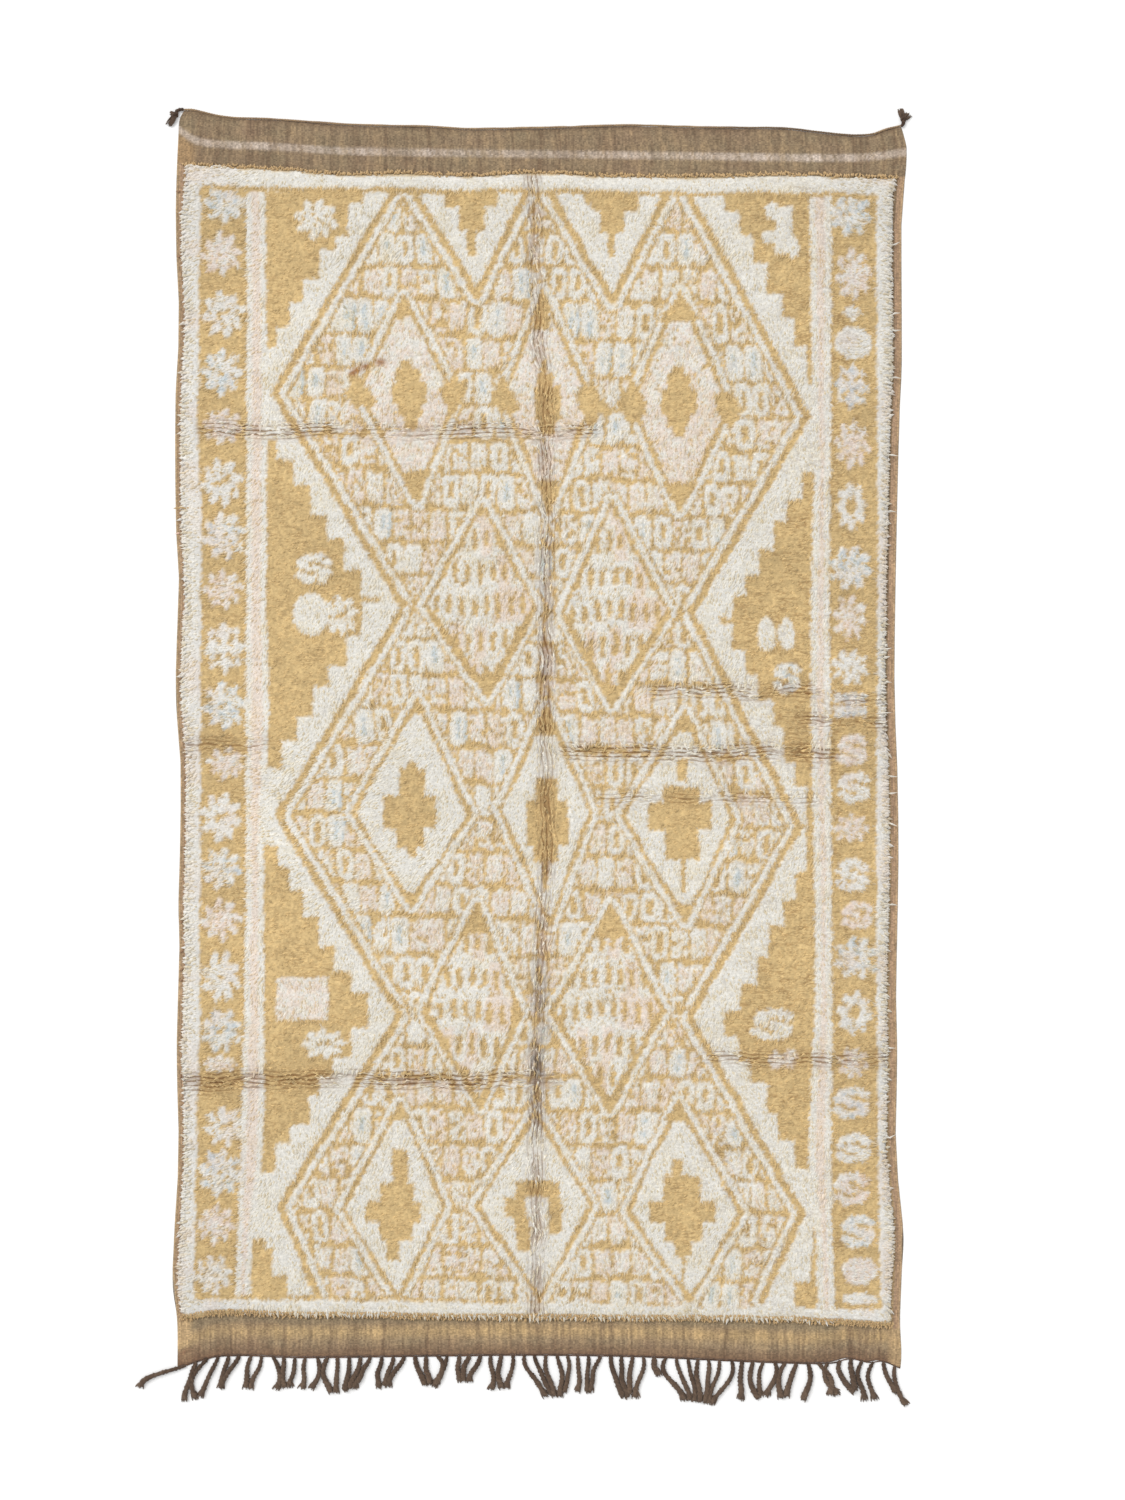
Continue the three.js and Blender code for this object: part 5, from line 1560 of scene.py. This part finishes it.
def twisted(centre, radius, pitch, plies=2, phase=0.0, spread=0.4):
    """The centre lines and radii of the plies of a twisted cord."""
    steps = np.linalg.norm(np.diff(centre, axis=0), axis=1)
    run = np.concatenate([[0], np.cumsum(steps)])
    ahead = np.gradient(centre, axis=0)
    ahead /= np.linalg.norm(ahead, axis=1, keepdims=True)
    side = np.cross(ahead, UP)
    side /= np.linalg.norm(side, axis=1, keepdims=True)
    over = np.cross(side, ahead)
    result = []
    for ply in range(plies):
        turn = 2 * math.pi * (run / pitch + ply / plies) + phase
        offset = side * np.cos(turn)[:, None] + over * np.sin(turn)[:, None]
        result.append((centre + offset * (spread * radius)[:, None], radius * (1.02 - spread)))
    return result


DARK, DUSK, ASH = dye(60, 45, 35), dye(90, 71, 57), dye(132, 111, 93)
yarn_paint = wool_paint("dark_goat_hair", "Object", 300, 300, (0.7, 1.25), 0.8, 0.95, 0.1)
cord_from, cord_to = left_edge(np.array([1557.0]))[0] + 1, right_edge(np.array([1519.0]))[0] - 1
cord_x = np.linspace(cord_from, cord_to, 560)
radius = CORD_DIAMETER / 2 * (0.92 + 0.16 * soft_noise(cord_x, 101, 26))
centre = np.stack([
    cord_x, top_edge(cord_x) + GAP + CORD_DIAMETER / 2 - 0.4 + 0.4 * soft_noise(cord_x, 102, 40),
    radius,
], 1)
yarns = []
for ply, (line, thick) in enumerate(twisted(centre, radius, 13.0, spread=0.3)):
    line[:, 2] = np.maximum(line[:, 2], thick)
    tone = 0.5 + 0.5 * soft_noise(cord_x, 103 + ply, 18)
    worn = mixed(np.tile(BROWN, (len(line), 1)), KHAKI, tone)
    dark_part = ease((cord_x - 380) / 160) * ease((860 - cord_x) / 80)
    yarns.append((line, thick, mixed(worn, DARK, 0.08 + 0.45 * dark_part)))
heading_cord = yarn_mesh("twisted_heading_cord", yarns, 5)
heading_cord.data.materials.append(yarn_paint)
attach(heading_cord, "root")
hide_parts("heading_cord")

# The corner braids: the cord's two tails, each knotted once on itself just off the corner,
# with the loose wool beyond the knot splitting into two fuzzy locks.
BRAID_THICK = 13
draw = np.random.default_rng(88)


def bend(corners, t):
    """A smooth curve through three or four guiding points."""
    corners = [np.array(c, float) for c in corners]
    t = t[:, None]
    if len(corners) == 3:
        a, b, c = corners
        return a * (1 - t) ** 2 + b * 2 * t * (1 - t) + c * t**2
    a, b, c, d = corners
    return a * (1 - t) ** 3 + b * 3 * t * (1 - t) ** 2 + c * 3 * t**2 * (1 - t) + d * t**3


def fuzzy_lock(start, across, up, width, fibres, level):
    """Fine fibres that leave one knot together and spread into a soft tuft."""
    result = []
    start = np.array(start, float)
    run = np.array([across, up, 0.0])
    side = np.array([-up, across, 0.0]) / math.hypot(across, up)
    for _ in range(fibres):
        spread = draw.uniform(-0.5, 0.5) * width
        reach = draw.uniform(0.72, 1.04)
        height = draw.uniform(1.2, level)
        begin = start + side * spread * 0.35
        bulge = start + run * 0.5 * reach + side * spread + [0, 0, height - start[2]]
        end = start + run * reach + side * (spread * 0.8 + draw.normal(0, 1.2))
        end[2] = max(1.3, 0.6 * height)
        bulge[2] = max(bulge[2], 1.6)
        line = bend([begin, bulge, end], np.linspace(0, 1, 8))
        thick = draw.uniform(1.3, 2.1) * np.array([0.9, 1, 1, 1, 0.95, 0.85, 0.7, 0.35])
        tone = np.clip(draw.normal(0.4, 0.35), 0, 1)
        shade = mixed(np.tile(DARK, (8, 1)), DUSK, np.full(8, tone))
        result.append((line, thick, mixed(shade, ASH, np.linspace(0, 0.4, 8))))
    return result


braids = [
    ("left", -1, (-20, -14), [(-15, 6, 12, 16), (-18, -26, 18, 26)]),
    ("right", 1, (6, 15), [(-7, 27, 15, 22), (17, 14, 17, 20)]),
]
for name, side, neck, locks in braids:
    end_x = cord_from if side < 0 else cord_to
    end_y = top_edge(np.array([end_x]))[0] + GAP + CORD_DIAMETER / 2
    knot = np.array([end_x + neck[0], end_y + neck[1], BRAID_THICK * 0.42])
    start = np.array([end_x + side * 1.5, end_y, 3.4])
    tail = bend([start, (start[0] + neck[0] * 0.9, end_y, 4.4), knot], np.linspace(0, 1, 14))
    yarns = []
    for ply, (line, thick) in enumerate(twisted(tail, np.linspace(4.2, 5.6, 14), 15.0)):
        yarns.append(
            (line, thick, mixed(np.tile(DARK, (14, 1)), DUSK, np.full(14, 0.3 + 0.3 * ply)))
        )
    # the knot: two turns of the yarn around the tail, one leaning each way
    turn = np.linspace(0, 2 * math.pi * 0.96, 22)
    for lean, size in ((0.5, 5.6), (-0.7, 5.0)):
        ring = np.stack([
            size * np.cos(turn), size * 0.75 * np.sin(turn) + lean * 2,
            3.6 * np.sin(turn + lean) * 0.8,
        ], 1) + knot
        ring[:, 2] = np.maximum(ring[:, 2], 2.4)
        yarns.append(
            (ring, np.full(22, 2.3), mixed(np.tile(DARK, (22, 1)), DUSK, np.full(22, 0.55)))
        )
    for across, up, width, fibres in locks:
        yarns += fuzzy_lock(knot, across, up, width, fibres, 7.5)
    piece = yarn_mesh(f"fuzzy_braid_{name}", yarns, 5)
    piece.data.materials.append(yarn_paint)
    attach(piece, "root")
    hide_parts(f"corner_braid_{name}")

# The warp fringe. Past the lower edge the warp ends are twisted in pairs into dark cords
# that lie loose on the floor in small bunches and fray at their tips.
STRAND_WIDTH = 14.6
fringe_bunches = [
    # cords, shift of the tips, how close the tips lie, reach
    (1, -106, 1, 48), (3, -30, 1, 94), (2, -34, 0.7, 80), (2, -15, 0.6, 80), (3, -2, 0.75, 72),
    (2, -3, 1, 76), (2, 2, 0.85, 82), (3, -20, 0.62, 76), (3, -24, 0.78, 72), (4, 0, 0.66, 67),
    (3, -17, 0.78, 60), (3, -5, 0.64, 77), (5, 22, 0.6, 94), (3, -8, 0.75, 88), (4, -3, 0.62, 92),
    (1, 5, 1, 38), (7, 6, 0.6, 97), (1, 4, 1, 90), (3, -10, 0.8, 82), (2, -13, 0.75, 80),
    (1, -8, 1, 82), (2, 24, 0.62, 74), (2, 20, 0.66, 70), (2, 8, 0.95, 88), (1, 24, 1, 76),
    (1, 20, 1, 96),
]
draw = np.random.default_rng(66)
cord_count = sum(bunch[0] for bunch in fringe_bunches)
fringe_left, fringe_right = -876, 876
pitch = (fringe_right - fringe_left) / (cord_count - 1)


def source_chance(a, b):
    wild = math.sin(a * 127.1 + b * 311.7) * 43758.5453
    return wild - math.floor(wild)


yarns = []
first = 0
for cords, shift, gather, reach in fringe_bunches:
    middle = first + (cords - 1) / 2
    for k in range(first, first + cords):
        root_at = fringe_left + pitch * (k + 0.16 * (source_chance(k, 3) - 0.5))
        tip_at = fringe_left + pitch * (middle + (k - middle) * gather * 0.7) + shift
        length = reach * (0.92 + 0.13 * source_chance(k, 5))
        edge = bottom_edge(np.array([root_at]))[0] - GAP
        foot = edge - length - 3
        run = tip_at - root_at
        t = np.linspace(0, 1, 20)
        line = bend([
            (root_at, edge - 1.5, 0), (root_at + 0.18 * run, edge - 0.35 * length, 0),
            (root_at + 0.85 * run, edge - 0.6 * length, 0), (tip_at, foot, 0),
        ], t)
        sway = 3.6 * np.sin(t * draw.uniform(5, 10) + draw.uniform(0, 6)) * t * draw.uniform(0.3, 1)
        sway += draw.normal(0, 5) * t**5
        bow = draw.normal(0, 7) + (k - middle) * 3.2 + (draw.normal(0, 7) if cords < 3 else 0)
        line[:, 0] += sway + bow * np.sin(math.pi * np.clip(t, 0, 1) ** 0.9)
        radius = STRAND_WIDTH / 2 * np.interp(
            t, [0, 0.06, 0.25, 0.5, 0.85, 1], [0.6, 0.8, 0.92, 0.98, 1.16, 1.22]
        )
        radius = radius * draw.uniform(0.86, 1.08) * (1 + 0.07 * soft_noise(t * 9 + k, 115, 1))
        line[:, 2] = np.interp(t, [0, 0.3, 1], [2.6, 4.6, 4.2])
        tone = draw.uniform(0.1, 0.65)
        for ply, (ply_line, thick) in enumerate(
            twisted(line, radius, draw.uniform(17, 22), 2, draw.uniform(0, 6))
        ):
            ply_line[:, 2] = np.maximum(ply_line[:, 2] * 0.9, thick * 0.9)
            shade = mixed(np.tile(DARK, (20, 1)), DUSK, np.full(20, tone + 0.25 * ply))
            shade = mixed(
                shade, ASH, 0.28 * t + 0.25 * np.clip(soft_noise(t * 8 + 3 * k + ply, 116, 1), 0, 1)
            )
            yarns.append((ply_line, thick, shade))
        ahead = line[-1] - line[-3]
        ahead /= np.linalg.norm(ahead)
        for _ in range(12):
            side = np.array([-ahead[1], ahead[0], 0]) * draw.uniform(-6.5, 6.5)
            begin = line[-3] + side * 0.7
            end = line[-1] + ahead * draw.uniform(-2, 9) + side * draw.uniform(1.0, 2.1)
            begin[2], end[2] = draw.uniform(2, 5), draw.uniform(1.0, 3)
            fibre = bend([begin, (begin + end) / 2 + side * 0.3, end], np.linspace(0, 1, 4))
            yarns.append((fibre, np.array([2.3, 2.1, 1.6, 0.7]),
                          mixed(np.tile(DUSK, (4, 1)), ASH, np.full(4, draw.uniform(0, 0.8)))))
    first += cords

# the last wefts, wound around the warp ends where they leave the cloth
edge_x = np.linspace(
    left_edge(np.array([-1545.0]))[0] + 2, right_edge(np.array([-1540.0]))[0] - 2, 420
)
binding = np.stack(
    [edge_x, bottom_edge(edge_x) - GAP - 1.5 + 0.3 * soft_noise(edge_x, 111, 12), edge_x * 0 + 1.7],
    1
)
wrap = dye(104, 74, 54)
shade = mixed(np.tile(DARK, (420, 1)), wrap, 0.5 + 0.5 * soft_noise(edge_x, 112, 9))
yarns.append((binding, 1.5 + 0.25 * soft_noise(edge_x, 113, 8), shade))
fringe = yarn_mesh("twisted_warp_fringe", yarns, 6)
fringe.data.materials.append(yarn_paint)
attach(fringe, "root")
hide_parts("warp_fringe")
